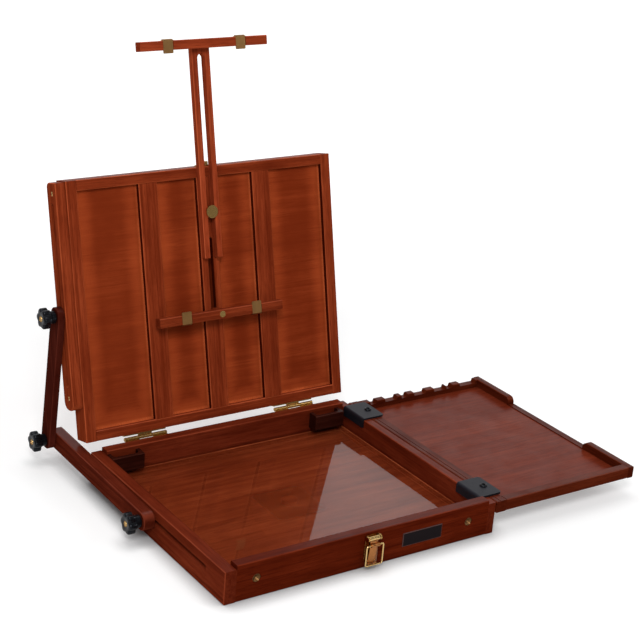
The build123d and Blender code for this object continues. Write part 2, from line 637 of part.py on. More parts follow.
def mast():
    """The forked mast that carries the upper bar, and the lid bolt that its slot rides on."""
    side = (-MAST_WIDTH / 2, MAST_WIDTH / 2)
    top = TOP_BAR_U + BAR_HEIGHT
    body = eased(block(side, (MAST_BOTTOM_U, top), (MAST_BACK_N, TOP_BAR_N)), Axis.Y)
    slot = slot_u(0, (MAST_BOTTOM_U - 10, top - MAST_SLOT_TOP_MARGIN), (-1, TOP_BAR_N + 1), MAST_SLOT)
    save("mast", on_lid(body - slot))
    head = TOP_BAR_N + SEAT_GAP
    bolt = rod((0, MAST_BOLT_U, back_bolt_end()), (0, MAST_BOLT_U, head), BOLT_RADIUS)
    bolt += rod(
        (0, MAST_BOLT_U, head), (0, MAST_BOLT_U, head + BOLT_HEAD_THICKNESS), BOLT_HEAD_RADIUS
    )
    save("mast_bolt", on_lid(bolt))
    save("mast_knob", on_lid(back_knob(MAST_BOLT_U)))


def clip_pin_place(edge_u, inward):
    """The u and n of a clip's pin, near one edge of a bar; inward is +1 or -1 along u."""
    n = BAR_FRONT_N - CLIP_FRONT_SET_BACK - CLIP_BARREL_RADIUS
    return edge_u + inward * CLIP_PIN_INSET, n


def clamp_bar(low_u, back_n, edge_u, inward):
    """A bar with two shallow housings for its clips and grooves for their pins."""
    half = BAR_LENGTH / 2
    bar = block((-half, half), (low_u, low_u + BAR_HEIGHT), (back_n, BAR_FRONT_N))
    bar = eased(bar, Axis.X)
    pin_u, pin_n = clip_pin_place(edge_u, inward)
    floor_n = BAR_FRONT_N - CLIP_FRONT_SET_BACK - CLIP_THICKNESS - SLIDE_GAP
    room = CLIP_WIDTH / 2 + CLIP_SIDE_GAP
    for x in (-CLIP_X, CLIP_X):
        housing = (low_u - 1, low_u + BAR_HEIGHT + 1)
        bar -= block((x - room, x + room), housing, (floor_n, BAR_FRONT_N + 1))
        bar -= rod_x((x - room, x + room), pin_u, pin_n, CLIP_BARREL_RADIUS + SLIDE_GAP)
        pin_room = CLIP_PIN_LENGTH / 2 + SEAT_GAP
        bar -= rod_x((x - pin_room, x + pin_room), pin_u, pin_n, CLIP_PIN_RADIUS + SEAT_GAP)
    return bar


def clip(x, edge_u, inward):
    """A brass tongue curled round its pin, flat on the bar and a little over the canvas edge."""
    pin_u, pin_n = clip_pin_place(edge_u, inward)
    span = (x - CLIP_WIDTH / 2, x + CLIP_WIDTH / 2)
    front = BAR_FRONT_N - CLIP_FRONT_SET_BACK
    tip = edge_u + inward * (BAR_HEIGHT + CLIP_TONGUE)
    plate = block(span, (min(pin_u, tip), max(pin_u, tip)), (front - CLIP_THICKNESS, front))
    tip_edges = plate.edges().filter_by(Axis.Z).sort_by(Axis.Y)
    tip_edges = tip_edges[-2:] if inward > 0 else tip_edges[:2]
    plate = fillet(tip_edges, 1.0)
    body = plate + rod_x(span, pin_u, pin_n, CLIP_BARREL_RADIUS)
    return body - rod_x((span[0] - 1, span[1] + 1), pin_u, pin_n, CLIP_PIN_RADIUS + FIT_GAP)


def clip_pins(edge_u, inward):
    """The two pins of one bar's clips."""
    pin_u, pin_n = clip_pin_place(edge_u, inward)
    half = CLIP_PIN_LENGTH / 2
    pins = [rod_x((x - half, x + half), pin_u, pin_n, CLIP_PIN_RADIUS) for x in (-CLIP_X, CLIP_X)]
    return Compound(pins)


def clamp_bars():
    """The upper bar on the mast and the lower bar on its own stud, each with two clips."""
    top_edge = TOP_BAR_U + BAR_HEIGHT
    low_edge = LOW_BAR_U - BAR_HEIGHT
    save("top_bar", on_lid(clamp_bar(TOP_BAR_U, TOP_BAR_N, top_edge, -1)))
    save("top_clip_pins", on_lid(clip_pins(top_edge, -1)))
    save("top_clip_left", on_lid(clip(-CLIP_X, top_edge, -1)))
    save("top_clip_right", on_lid(clip(CLIP_X, top_edge, -1)))

    bar = clamp_bar(low_edge, LOW_BAR_N, low_edge, 1)
    half = MAST_SLOT / 2 - SLIDE_GAP
    bar += block((-half, half), (low_edge, LOW_BAR_U), (SLIDE_GAP, LOW_BAR_N))
    head_n = BAR_FRONT_N - STUD_HEAD_THICKNESS
    centre = (0, TRACK_LOW_U)
    bar -= rod((*centre, 0), (*centre, BAR_FRONT_N + 1), BOLT_RADIUS + SEAT_GAP)
    bar -= rod((*centre, head_n), (*centre, BAR_FRONT_N + 1), STUD_HEAD_RADIUS + SEAT_GAP)
    save("bottom_bar", on_lid(bar))
    stud = rod((*centre, back_bolt_end()), (*centre, head_n), BOLT_RADIUS)
    stud += rod((*centre, head_n), (*centre, BAR_FRONT_N - SEAT_GAP), STUD_HEAD_RADIUS)
    save("bottom_bar_stud", on_lid(stud))
    save("bottom_bar_knob", on_lid(back_knob(TRACK_LOW_U)))
    save("bottom_clip_pins", on_lid(clip_pins(low_edge, 1)))
    save("bottom_clip_left", on_lid(clip(-CLIP_X, low_edge, 1)))
    save("bottom_clip_right", on_lid(clip(CLIP_X, low_edge, 1)))


# ================================================================ draw latch
LEVER_PIVOT = (FRONT_Y - LATCH_PLATE - LATCH_PIVOT_OUT, BASE_HEIGHT - LATCH_PIVOT_DROP)
BAIL_PIVOT = (LEVER_PIVOT[0] - BAIL_PIVOT_OUT, LEVER_PIVOT[1] - BAIL_PIVOT_DROP)
EAR_INNER = LATCH_PLATE_WIDTH / 2 - LATCH_EAR


def latch_base():
    """The screwed-on plate with two ears and the rivet that the lever turns on."""
    y, z = LEVER_PIVOT
    half = LATCH_PLATE_WIDTH / 2
    top = z + LATCH_EAR_RADIUS
    side = (LATCH_X - half, LATCH_X + half)
    plate = block(side, (FRONT_Y - LATCH_PLATE, FRONT_Y), (LATCH_PLATE_BOTTOM_Z, top))
    plate = eased(plate, Axis.Y)
    for low in (LATCH_X - half, LATCH_X + EAR_INNER):
        ear = (low, low + LATCH_EAR)
        plate += rod_x(ear, y, z, LATCH_EAR_RADIUS)
        plate += block(ear, (y, FRONT_Y - LATCH_PLATE), (z - LATCH_EAR_RADIUS, z + LATCH_EAR_RADIUS))
    save("latch_base", plate + rod_x(side, y, z, LATCH_RIVET_RADIUS))


def latch_lever():
    """The curved thumb lever, with a boss that the bail's ends turn in."""
    y, z = LEVER_PIVOT
    half = LEVER_WIDTH / 2
    span = (LATCH_X - half, LATCH_X + half)
    tip_y = FRONT_Y - LATCH_PLATE - LEVER_TIP_OUT
    top = (y - LEVER_BARREL_RADIUS / 2, z - LEVER_BARREL_RADIUS / 2)
    bulge = (BAIL_PIVOT[0] + LEVER_THICKNESS, BAIL_PIVOT[1] - BAIL_BOSS_RADIUS)
    tip = (tip_y, LEVER_TIP_Z)
    inner = ThreePointArc(top, bulge, tip)
    outer = Pos(-LEVER_THICKNESS, 0) * inner
    profile = make_face([inner, outer, Line(inner @ 0, outer @ 0), Line(inner @ 1, outer @ 1)])
    place = Plane(origin=(span[0], 0, 0), x_dir=(0, 1, 0), z_dir=(1, 0, 0))
    lever = extrude(place.location * profile, LEVER_WIDTH)
    lever += rod_x(span, tip_y - LEVER_THICKNESS / 2, LEVER_TIP_Z, LEVER_TIP_ROLL)
    barrel = EAR_INNER - SLIDE_GAP
    lever += rod_x((LATCH_X - barrel, LATCH_X + barrel), y, z, LEVER_BARREL_RADIUS)
    lever += rod_x(span, *BAIL_PIVOT, BAIL_BOSS_RADIUS)
    wide = (LATCH_X - BAIL_WIDTH, LATCH_X + BAIL_WIDTH)
    lever -= rod_x(wide, y, z, LATCH_RIVET_RADIUS + FIT_GAP)
    save("latch_lever", lever - rod_x(wide, *BAIL_PIVOT, BAIL_WIRE_RADIUS + FIT_GAP))


def latch_bail():
    """The wire loop that hooks the lid's catch, hanging down from the lever."""
    y, z = BAIL_PIVOT
    half = BAIL_WIDTH / 2
    grip = LEVER_WIDTH / 2 - BAIL_STUB_GRIP
    points = [
        (LATCH_X - grip, y, z),
        (LATCH_X - half, y, z),
        (LATCH_X - half, y, z - BAIL_LENGTH),
        (LATCH_X + half, y, z - BAIL_LENGTH),
        (LATCH_X + half, y, z),
        (LATCH_X + grip, y, z),
    ]
    path = FilletPolyline(*points, radius=(0, BAIL_BEND, BAIL_BEND, 0))
    section = Plane(origin=points[0], z_dir=path % 0) * Circle(BAIL_WIRE_RADIUS)
    save("latch_bail", sweep(section, path, transition=Transition.RIGHT))


def catch_plate():
    """The hook on the lid's free edge, drawn as the closed box holds it and placed with the lid."""
    reach = LATCH_PLATE + CATCH_HOOK_GAP + BAIL_WIRE_RADIUS  # from the lid's edge to the held wire
    offset = FRONT_Y - reach - BAIL_PIVOT[0]
    wire_z = BAIL_PIVOT[1] + sqrt(BAIL_LENGTH**2 - offset**2)
    wire_n = BASE_HEIGHT - wire_z
    plate_x = (LATCH_X - CATCH_PLATE_WIDTH / 2, LATCH_X + CATCH_PLATE_WIDTH / 2)
    plate_n = (wire_n - CATCH_PLATE_HEIGHT / 2, wire_n + CATCH_PLATE_HEIGHT / 2)
    plate = block(plate_x, (LID_HEIGHT, LID_HEIGHT + LATCH_PLATE), plate_n)
    plate = eased(plate, Axis.Y)
    hook_x = (LATCH_X - CATCH_HOOK_WIDTH / 2, LATCH_X + CATCH_HOOK_WIDTH / 2)
    inside = wire_n + BAIL_WIRE_RADIUS + CATCH_HOOK_GAP
    lip_u = LID_HEIGHT + reach + BAIL_WIRE_RADIUS + CATCH_HOOK_GAP
    shelf = block(hook_x, (LID_HEIGHT, lip_u + LATCH_PLATE), (inside, inside + LATCH_PLATE))
    lip = block(hook_x, (lip_u, lip_u + LATCH_PLATE), (inside - CATCH_LIP, inside + LATCH_PLATE))
    hook = shelf + lip
    outer_bend = hook.edges().filter_by(Axis.X).group_by(Axis.Y)[-1].sort_by(Axis.Z)[-1]
    save("catch_plate", on_lid(plate + fillet(outer_bend, LATCH_PLATE - 0.1)))


# ================================================================ side tray
def tray_notches():
    """Flared rests for brushes, cut down from the back wall's top edge."""
    kinds = (
        (SMALL_NOTCHES, SMALL_NOTCH_WIDTH),
        (LARGE_NOTCHES, LARGE_NOTCH_WIDTH),
        ((TRAY_WIDTH - WIDE_NOTCH_INSET,), WIDE_NOTCH_WIDTH),
    )
    for places, width in kinds:
        for place in places:
            x = TRAY_X + place
            top, bottom = width / 2 + NOTCH_FLARE, width / 2
            outline = Polygon(
                (x - bottom, TRAY_TOP_Z - NOTCH_DEPTH),
                (x + bottom, TRAY_TOP_Z - NOTCH_DEPTH),
                (x + top, TRAY_TOP_Z + 1),
                (x - top, TRAY_TOP_Z + 1),
                align=None,
            )
            plane = Plane(origin=(0, TRAY_BACK_Y + 1, 0), x_dir=(1, 0, 0), z_dir=(0, -1, 0))
            yield extrude(plane.location * outline, TRAY_BACK_WALL + 2)


def tray():
    """A shallow tray: two side walls, front and back walls between them, and a thin floor."""
    z = (TRAY_Z, TRAY_TOP_Z)
    y = (TRAY_FRONT_Y, TRAY_BACK_Y)
    right_face = TRAY_X + TRAY_WIDTH
    left = eased(block((TRAY_X, TRAY_X + TRAY_LEFT_WALL), y, z), Axis.Y)
    for screw_y in BRACKET_YS:
        spot = (TRAY_X + BRACKET_SCREW_X, screw_y)
        deep = TRAY_TOP_Z - BRACKET_SCREW_LENGTH
        left -= rod((*spot, deep), (*spot, TRAY_TOP_Z + 1), BRACKET_SCREW_RADIUS + SEAT_GAP)
    line_x = TRAY_X + TRAY_LINE_X
    line = (line_x - TRAY_LINE_WIDTH / 2, line_x + TRAY_LINE_WIDTH / 2)
    left -= block(line, (y[0] - 1, y[1] + 1), (TRAY_TOP_Z - TRAY_LINE_DEPTH, TRAY_TOP_Z + 1))
    save("tray_left_wall", left)

    right = eased(block((right_face - TRAY_RIGHT_WALL, right_face), y, z), Axis.Y)
    half = CUT_OUT_LENGTH / 2
    cut_y = (CUT_OUT_CENTRE_Y - half, CUT_OUT_CENTRE_Y + half)
    cut_x = (right_face - TRAY_RIGHT_WALL - 1, right_face + 1)
    right -= block(cut_x, cut_y, (TRAY_TOP_Z - CUT_OUT_DEPTH, TRAY_TOP_Z + 1))
    shoulders = right.edges().filter_by(Axis.X).filter_by(
        lambda edge: edge.center().Z > TRAY_TOP_Z - 0.01 and cut_y[0] - 1 < edge.center().Y < cut_y[1] + 1
    )
    save("tray_right_wall", fillet(shoulders, min(CUT_OUT_ROUND, CUT_OUT_DEPTH - 0.5)))

    inner = (TRAY_X + TRAY_LEFT_WALL, right_face - TRAY_RIGHT_WALL)
    front = block(inner, (TRAY_FRONT_Y, TRAY_FRONT_Y + TRAY_FRONT_WALL), z)
    save("tray_front_wall", eased(front, Axis.X))
    back = eased(block(inner, (TRAY_BACK_Y - TRAY_BACK_WALL, TRAY_BACK_Y), z), Axis.X)
    for notch in tray_notches():
        back -= notch
    save("tray_back_wall", back)
    inner_y = (TRAY_FRONT_Y + TRAY_FRONT_WALL, TRAY_BACK_Y - TRAY_BACK_WALL)
    save("tray_floor", block(inner, inner_y, (TRAY_Z, TRAY_Z + TRAY_FLOOR)))


def tray_brackets():
    """Two bent steel plates, screwed to the tray and hooked over the base's right wall."""
    low = SIDE_HEIGHT + BRACKET_REST_GAP
    top = low + BRACKET_THICKNESS
    leg_x = RIGHT_INNER_X - BRACKET_REST_GAP - BRACKET_THICKNESS
    brackets, screws = [], []
    for centre in BRACKET_YS:
        y = (centre - BRACKET_LENGTH / 2, centre + BRACKET_LENGTH / 2)
        far = TRAY_X + TRAY_LEFT_WALL + BRACKET_OVERHANG
        plate = block((leg_x, far), y, (low, top))
        plate = chamfer(plate.edges().filter_by(Axis.Z).group_by(Axis.X)[-1], 2.0)
        leg = block((leg_x, leg_x + BRACKET_THICKNESS), y, (low - BRACKET_LEG, top))
        bent = plate + leg
        bend = bent.edges().filter_by(Axis.Y).group_by(Axis.X)[0].sort_by(Axis.Z)[-1]
        bent = fillet(bend, BRACKET_BEND)
        spot = (TRAY_X + BRACKET_SCREW_X, centre)
        bent -= rod((*spot, low - 1), (*spot, top + 1), BRACKET_SCREW_RADIUS + SEAT_GAP)
        brackets.append(bent)
        screw = rod((*spot, TRAY_TOP_Z - BRACKET_SCREW_LENGTH), (*spot, top), BRACKET_SCREW_RADIUS)
        head = rod((*spot, top), (*spot, top + BRACKET_SCREW_HEAD), BRACKET_SCREW_HEAD_RADIUS)
        screws.append(screw + chamfer(head.edges().group_by(Axis.Z)[-1], EASE))
    save("tray_brackets", Compound(brackets))
    save("bracket_screws", Compound(screws))


base_walls()
base_inside()
base_trim()
hinges()
lid_frame()
side_bar()
support_arms()
mast()
clamp_bars()
latch_base()
latch_lever()
latch_bail()
catch_plate()
tray()
tray_brackets()
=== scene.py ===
"""Looks of a hardwood pochade box: lacquered wood, brass, black knobs and a palette glass.

The piece stands open in a plain studio. Lengths are in metres, and in millimetres where MM turns
them into metres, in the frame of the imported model: x to the right, y to the back, z up.
"""
import json
from math import atan2, cos, hypot, pi, radians, sin

import bpy
from mathutils import Matrix, Vector


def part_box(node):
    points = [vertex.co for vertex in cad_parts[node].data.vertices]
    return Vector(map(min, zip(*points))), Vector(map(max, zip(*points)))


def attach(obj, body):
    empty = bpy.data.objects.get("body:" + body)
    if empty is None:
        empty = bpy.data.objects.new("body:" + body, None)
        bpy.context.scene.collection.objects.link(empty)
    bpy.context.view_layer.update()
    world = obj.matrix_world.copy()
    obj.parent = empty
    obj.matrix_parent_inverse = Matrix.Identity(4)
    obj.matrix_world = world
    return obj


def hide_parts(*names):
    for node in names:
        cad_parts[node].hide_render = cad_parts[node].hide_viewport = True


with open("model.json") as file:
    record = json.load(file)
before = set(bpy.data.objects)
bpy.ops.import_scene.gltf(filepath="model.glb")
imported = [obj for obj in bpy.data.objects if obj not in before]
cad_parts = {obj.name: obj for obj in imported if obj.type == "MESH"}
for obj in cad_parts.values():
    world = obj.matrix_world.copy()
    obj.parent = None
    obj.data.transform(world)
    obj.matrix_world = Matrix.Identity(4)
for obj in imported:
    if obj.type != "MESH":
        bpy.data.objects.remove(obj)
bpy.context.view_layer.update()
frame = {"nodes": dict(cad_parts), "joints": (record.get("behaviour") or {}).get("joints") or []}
nodes = frame["nodes"]
bpy.ops.object.select_all(action="DESELECT")

# ---------------------------------------------------------------- viewpoint
# The box is seen from its front left corner, from a little above the easel's foot, through a long
# lens. The frame is turned a few degrees, as a hand-held shot is.
CAMERA_PLACE = Vector((-0.8725, -1.2396, 0.7979))
CAMERA_YAW = radians(34.528)
CAMERA_PITCH = radians(21.626)
CAMERA_ROLL = radians(4.378)
CAMERA_LENS = 91.45
CAMERA_SENSOR = 36.0
CAMERA_SHIFT = (0.0519, 0.0178)
CAMERA_END = 20.0  # past the far end of the paper

ahead = Vector((sin(CAMERA_YAW), cos(CAMERA_YAW), 0))
forward = cos(CAMERA_PITCH) * ahead - sin(CAMERA_PITCH) * Vector((0, 0, 1))
level = Vector((cos(CAMERA_YAW), -sin(CAMERA_YAW), 0))
upward = level.cross(forward)
right = cos(CAMERA_ROLL) * level + sin(CAMERA_ROLL) * upward
above = cos(CAMERA_ROLL) * upward - sin(CAMERA_ROLL) * level
view = Matrix((right, above, -forward)).transposed().to_4x4()
view.translation = CAMERA_PLACE
bpy.ops.object.camera_add()
camera = bpy.context.object
camera.matrix_world = view
camera.data.sensor_width = CAMERA_SENSOR
camera.data.lens = CAMERA_LENS
camera.data.shift_x, camera.data.shift_y = CAMERA_SHIFT
camera.data.clip_end = CAMERA_END
bpy.context.scene.camera = camera
bpy.context.scene.view_settings.view_transform = "Standard"


# ---------------------------------------------------------------- studio
# A white paper floor under three soft lamps: a strong one high on the left front, a weaker one on
# the right, and one over the easel. Behind the box the paper sweeps up bright, in front of it the
# room is dim. Near the box's foot the paper's colour and glow are painted darker: a painted
# contact shadow.
class Socket:
    """A shader value that takes part in sums."""

    def __init__(self, paint, socket):
        self.paint = paint
        self.socket = socket

    def math(self, operation, left, right, clamp=False):
        settings = {"operation": operation, "use_clamp": clamp}
        return self.paint.node("ShaderNodeMath", settings, {0: left, 1: right})

    def __add__(self, other):
        return self.math("ADD", self, other)

    __radd__ = __add__

    def __sub__(self, other):
        return self.math("SUBTRACT", self, other)

    def __rsub__(self, other):
        return self.math("SUBTRACT", other, self)

    def __mul__(self, other):
        return self.math("MULTIPLY", self, other)

    __rmul__ = __mul__

    def top(self, other):
        return self.math("MAXIMUM", self, other)

    def held(self):
        """The value kept between 0 and 1."""
        return self.math("ADD", self, 0.0, clamp=True)


class Paint:
    """A material, or the room's air, that grows node by node."""

    def __init__(self, name, owner=None):
        self.owner = owner or bpy.data.materials.new(name)
        self.owner.use_nodes = True
        self.tree = self.owner.node_tree
        self.shader = self.tree.nodes.get("Principled BSDF")

    def put(self, target, value):
        if isinstance(value, Socket):
            self.tree.links.new(value.socket, target)
        else:
            target.default_value = value

    def node(self, kind, settings=None, inputs=None, output=0):
        made = self.tree.nodes.new(kind)
        for key, value in (settings or {}).items():
            if key == "stops":
                stops = made.color_ramp.elements
                while len(stops) < len(value):
                    stops.new(0.5)
                for stop, (place, colour) in zip(stops, value):
                    stop.position = place
                    stop.color = colour
            else:
                setattr(made, key, value)
        for key, value in (inputs or {}).items():
            self.put(made.inputs[key], value)
        return Socket(self, made.outputs[output])

    def axis(self, vector, number):
        """One part of a vector."""
        return self.node("ShaderNodeSeparateXYZ", {}, {0: vector}, output=number)

    def step(self, value, low, high, start=0.0, end=1.0):
        """A smooth rise from start at low to end at high."""
        inputs = {"Value": value, "From Min": low, "From Max": high, "To Min": start, "To Max": end}
        return self.node("ShaderNodeMapRange", {"interpolation_type": "SMOOTHSTEP"}, inputs)

    def place(self, scale=(1, 1, 1), turn=(0, 0, 0), shift=(0, 0, 0)):
        """Object coordinates turned and shifted, then stretched."""
        here = self.node("ShaderNodeTexCoord", output="Object")
        laid = {"Vector": here, "Rotation": turn, "Location": shift}
        laid = self.node("ShaderNodeMapping", {}, laid)
        return self.node("ShaderNodeMapping", {}, {"Vector": laid, "Scale": scale})

    def noise(self, cycles, detail, roughness, turn=(0, 0, 0), shift=(0, 0, 0)):
        """Noise with so many cycles per metre, either along each axis or all round."""
        scale = cycles if isinstance(cycles, tuple) else (cycles, cycles, cycles)
        where = self.place(scale, turn, shift)
        inputs = {"Vector": where, "Scale": 1.0, "Detail": detail, "Roughness": roughness}
        return self.node("ShaderNodeTexNoise", {}, inputs)

    def ramp(self, factor, *stops):
        """A factor mapped to grey levels or colours."""
        full = [
            (place, (*level, 1) if isinstance(level, tuple) else (level, level, level, 1))
            for place, level in stops
        ]
        return self.node("ShaderNodeValToRGB", {"stops": full}, {"Fac": factor})

    @staticmethod
    def colour(value):
        return (*value, 1) if isinstance(value, tuple) else value

    def mix(self, factor, first, second):
        """Two colours mixed."""
        inputs = {0: factor, 6: self.colour(first), 7: self.colour(second)}
        return self.node("ShaderNodeMix", {"data_type": "RGBA"}, inputs, output=2)

    def vector(self, operation, *values, output=0):
        """Vector maths, whose output 1 is a plain value."""
        settings = {"operation": operation}
        return self.node("ShaderNodeVectorMath", settings, dict(enumerate(values)), output)

    def bump(self, height, strength, distance):
        inputs = {"Height": height, "Strength": strength, "Distance": distance}
        return self.node("ShaderNodeBump", {}, inputs)

    def facing(self, turn=(0, 0, 0)):
        """The surface's normal, turned."""
        facing = self.node("ShaderNodeTexCoord", output="Normal")
        return self.node("ShaderNodeMapping", {}, {"Vector": facing, "Rotation": turn})

    def bevels(self, turn=(0, 0, 0)):
        """1 on edges eased at 45 degrees, 0 on faces square to the turned axes."""
        facing = self.facing(turn)
        squares = self.vector("MULTIPLY", facing, facing)
        fourths = self.vector("DOT_PRODUCT", squares, squares, output=1)
        return (2 - 2 * fourths).held()

    def surface(self, **inputs):
        """Set the shader's own sockets; the words of a name are joined with spaces."""
        for key, value in inputs.items():
            name = key.replace("_", " ").title().replace("Ior", "IOR")
            self.put(self.shader.inputs[name], self.colour(value))
        return self.owner


FLOOR_SIZE = 12.0
FLOOR_DROP = 0.0002  # keeps the paper clear of the box's underside
FLOOR_TONE = (0.72, 0.72, 0.72)
FLOOR_ROUGHNESS = 0.9
FLOOR_GLOW = 0.35  # lifts the seen floor to white and leaves the shadow
FAR_GLOW = 0.38  # more of it past the shadow, where the lamps fall off
FAR_FROM_BOX = (0.45, 1.5)  # where that begins and is full
MIRRORED_SHARE = 0.3  # of the glow, in metal and lacquer
PAINTED_SHADOW_REACH = 0.021  # how far from the box's foot the painted contact shadow reaches
# the paper's colour at the heart of the painted contact shadow, and the rays that find it
PAINTED_SHADOW_TONE = (0.30, 0.30, 0.31)
PAINTED_SHADOW_RAYS = 8

bpy.ops.mesh.primitive_plane_add(size=FLOOR_SIZE, location=(0, 0, -FLOOR_DROP))
floor = bpy.context.object
floor.name = "studio_floor"
paint = Paint("studio_paper")
seen = paint.node("ShaderNodeLightPath", output="Is Camera Ray")
mirrored = paint.node("ShaderNodeLightPath", output="Is Glossy Ray")
passed = paint.node("ShaderNodeLightPath", output="Is Transmission Ray")
from_box = paint.vector("LENGTH", paint.place(), output=1)
glow = FLOOR_GLOW + paint.step(from_box, *FAR_FROM_BOX) * FAR_GLOW
# Painted contact shadow: ambient occlusion darkens the paper's colour and cuts its glow near the
# box's foot.
painted_shadow_inputs = {"Distance": PAINTED_SHADOW_REACH}
unshaded_share = paint.node("ShaderNodeAmbientOcclusion", {"samples": PAINTED_SHADOW_RAYS}, painted_shadow_inputs, output=1)
glow = seen.top(passed).top(mirrored * MIRRORED_SHARE) * glow * (unshaded_share * unshaded_share)
floor.data.materials.append(
    paint.surface(
        base_color=paint.mix(unshaded_share, PAINTED_SHADOW_TONE, FLOOR_TONE),
        roughness=FLOOR_ROUGHNESS,
        emission_color=glow,
        emission_strength=1.0,
    )
)


def soft_lamp(name, place, target, size, power):
    """A square soft box aimed at a point."""
    bpy.ops.object.light_add(type="AREA", location=place)
    lamp = bpy.context.object
    lamp.name = name
    lamp.data.size = size
    lamp.data.energy = power
    lamp.rotation_euler = (Vector(target) - Vector(place)).to_track_quat("-Z", "Y").to_euler()


soft_lamp("key_lamp", place=(-1.1, -1.5, 1.9), target=(0, 0, 0.1), size=0.8, power=34)
soft_lamp("side_lamp", place=(1.9, -1.2, 1.3), target=(0, 0, 0.1), size=1.0, power=12)
soft_lamp("over_lamp", place=(0.1, 0.5, 2.3), target=(0, 0, 0), size=1.2, power=12)

DIM_ROOM = 0.20
SWEEP_LIGHT = 0.62
SWEEP_TURN = (-0.15, 0.6)  # parts of a direction along y, from the dim side to the bright one

world = bpy.context.scene.world or bpy.data.worlds.new("room")
bpy.context.scene.world = world
air = Paint("room", world)
towards = air.node("ShaderNodeTexCoord", output="Generated")
sweep = air.step(air.axis(towards, 1), *SWEEP_TURN)
seen = air.node("ShaderNodeLightPath", output="Is Camera Ray")
strength = DIM_ROOM + sweep * SWEEP_LIGHT
strength = seen + (1 - seen) * strength
air.put(air.tree.nodes["Background"].inputs["Strength"], strength)
air.put(air.tree.nodes["Background"].inputs["Color"], (1, 1, 1, 1))

# ---------------------------------------------------------------- base walls
# Four walls of red-brown hardwood, glued, the front and back between the sides and a little higher
# than them. The grain runs along each piece, with fine pores and slow bands of tone. The edges are
# painted pale under the lacquer, as wear and as a painted highlight.
LEAN = radians(13.5)
ALONG_X = (0, 0, 0)
ALONG_Y = (0, 0, -pi / 2)
LID_ALONG_X = (-(pi / 2 - LEAN), 0, 0)
LID_ALONG_U = (-(pi / 2 - LEAN), 0, -pi / 2)
GRAIN = (10, 150, 150)  # cycles per metre, along the grain and across it
BANDS = (3, 26, 26)
PORES = (70, 1400, 1400)
STREAKS = (5, 340, 340)
END_RINGS = (60, 420, 420)
BLOTCHES = 17
HAZE = 40
NEXT_BOARD = (0.71, 0.37, 0.53)  # from one seed's cut of the pattern to the next
TONE_SHARES = (0.5, 0.3, 0.2)  # of grain, bands and blotches in the tone
TONE_SPREAD = 0.15  # of the noise about its middle, from the darkest tone to the palest
DARKEST = 0.62  # this and the next five are levels of a wood's tone
PALEST = 1.5
PORE_LEVEL = 0.35
STREAK_LEVEL = 0.5
END_LEVEL = 0.55
EDGE_WEAR_AND_HIGHLIGHT_LEVEL = 2.2
TONE_POWERS = (1.0, 1.35, 1.5)  # of red, green and blue, as a level changes them
PORE_RIM = (0.36, 0.46)  # this and the next three are where a noise starts to tell and is full
STREAK_RIM = (0.52, 0.66)
RING_RIM = (0.3, 0.7)
EDGE_WEAR_AND_HIGHLIGHT_RIM = (0.36, 0.62)
PORE_SHARE = 0.4  # this and the next two are how strongly it tells
STREAK_SHARE = 0.55
END_SHARE = 0.6
END_FACE = (0.5, 0.9)  # squares of the normal's part along the grain, from side to end face
LEVEL_FACE = (0.6, 0.95)  # upward parts of the normal, from upright to level face
SIDE_COAT = 0.008
TOP_COAT = 0.42  # more lacquer lies on the faces that were level as it dried
COAT_ROUGHNESS = 0.26
GLOSS_SWING = 0.16
RELIEF_STRENGTH = 0.1
RELIEF = 0.0004


def wear(material, *names):
    """Give CAD pieces their finished material."""
    for name in names:
        for slot in nodes[name].material_slots:
            slot.material = material


def shaded(tone, level):
    """A wood tone made darker, or lighter and yellower."""
    return tuple(part * level**power for part, power in zip(tone, TONE_POWERS))


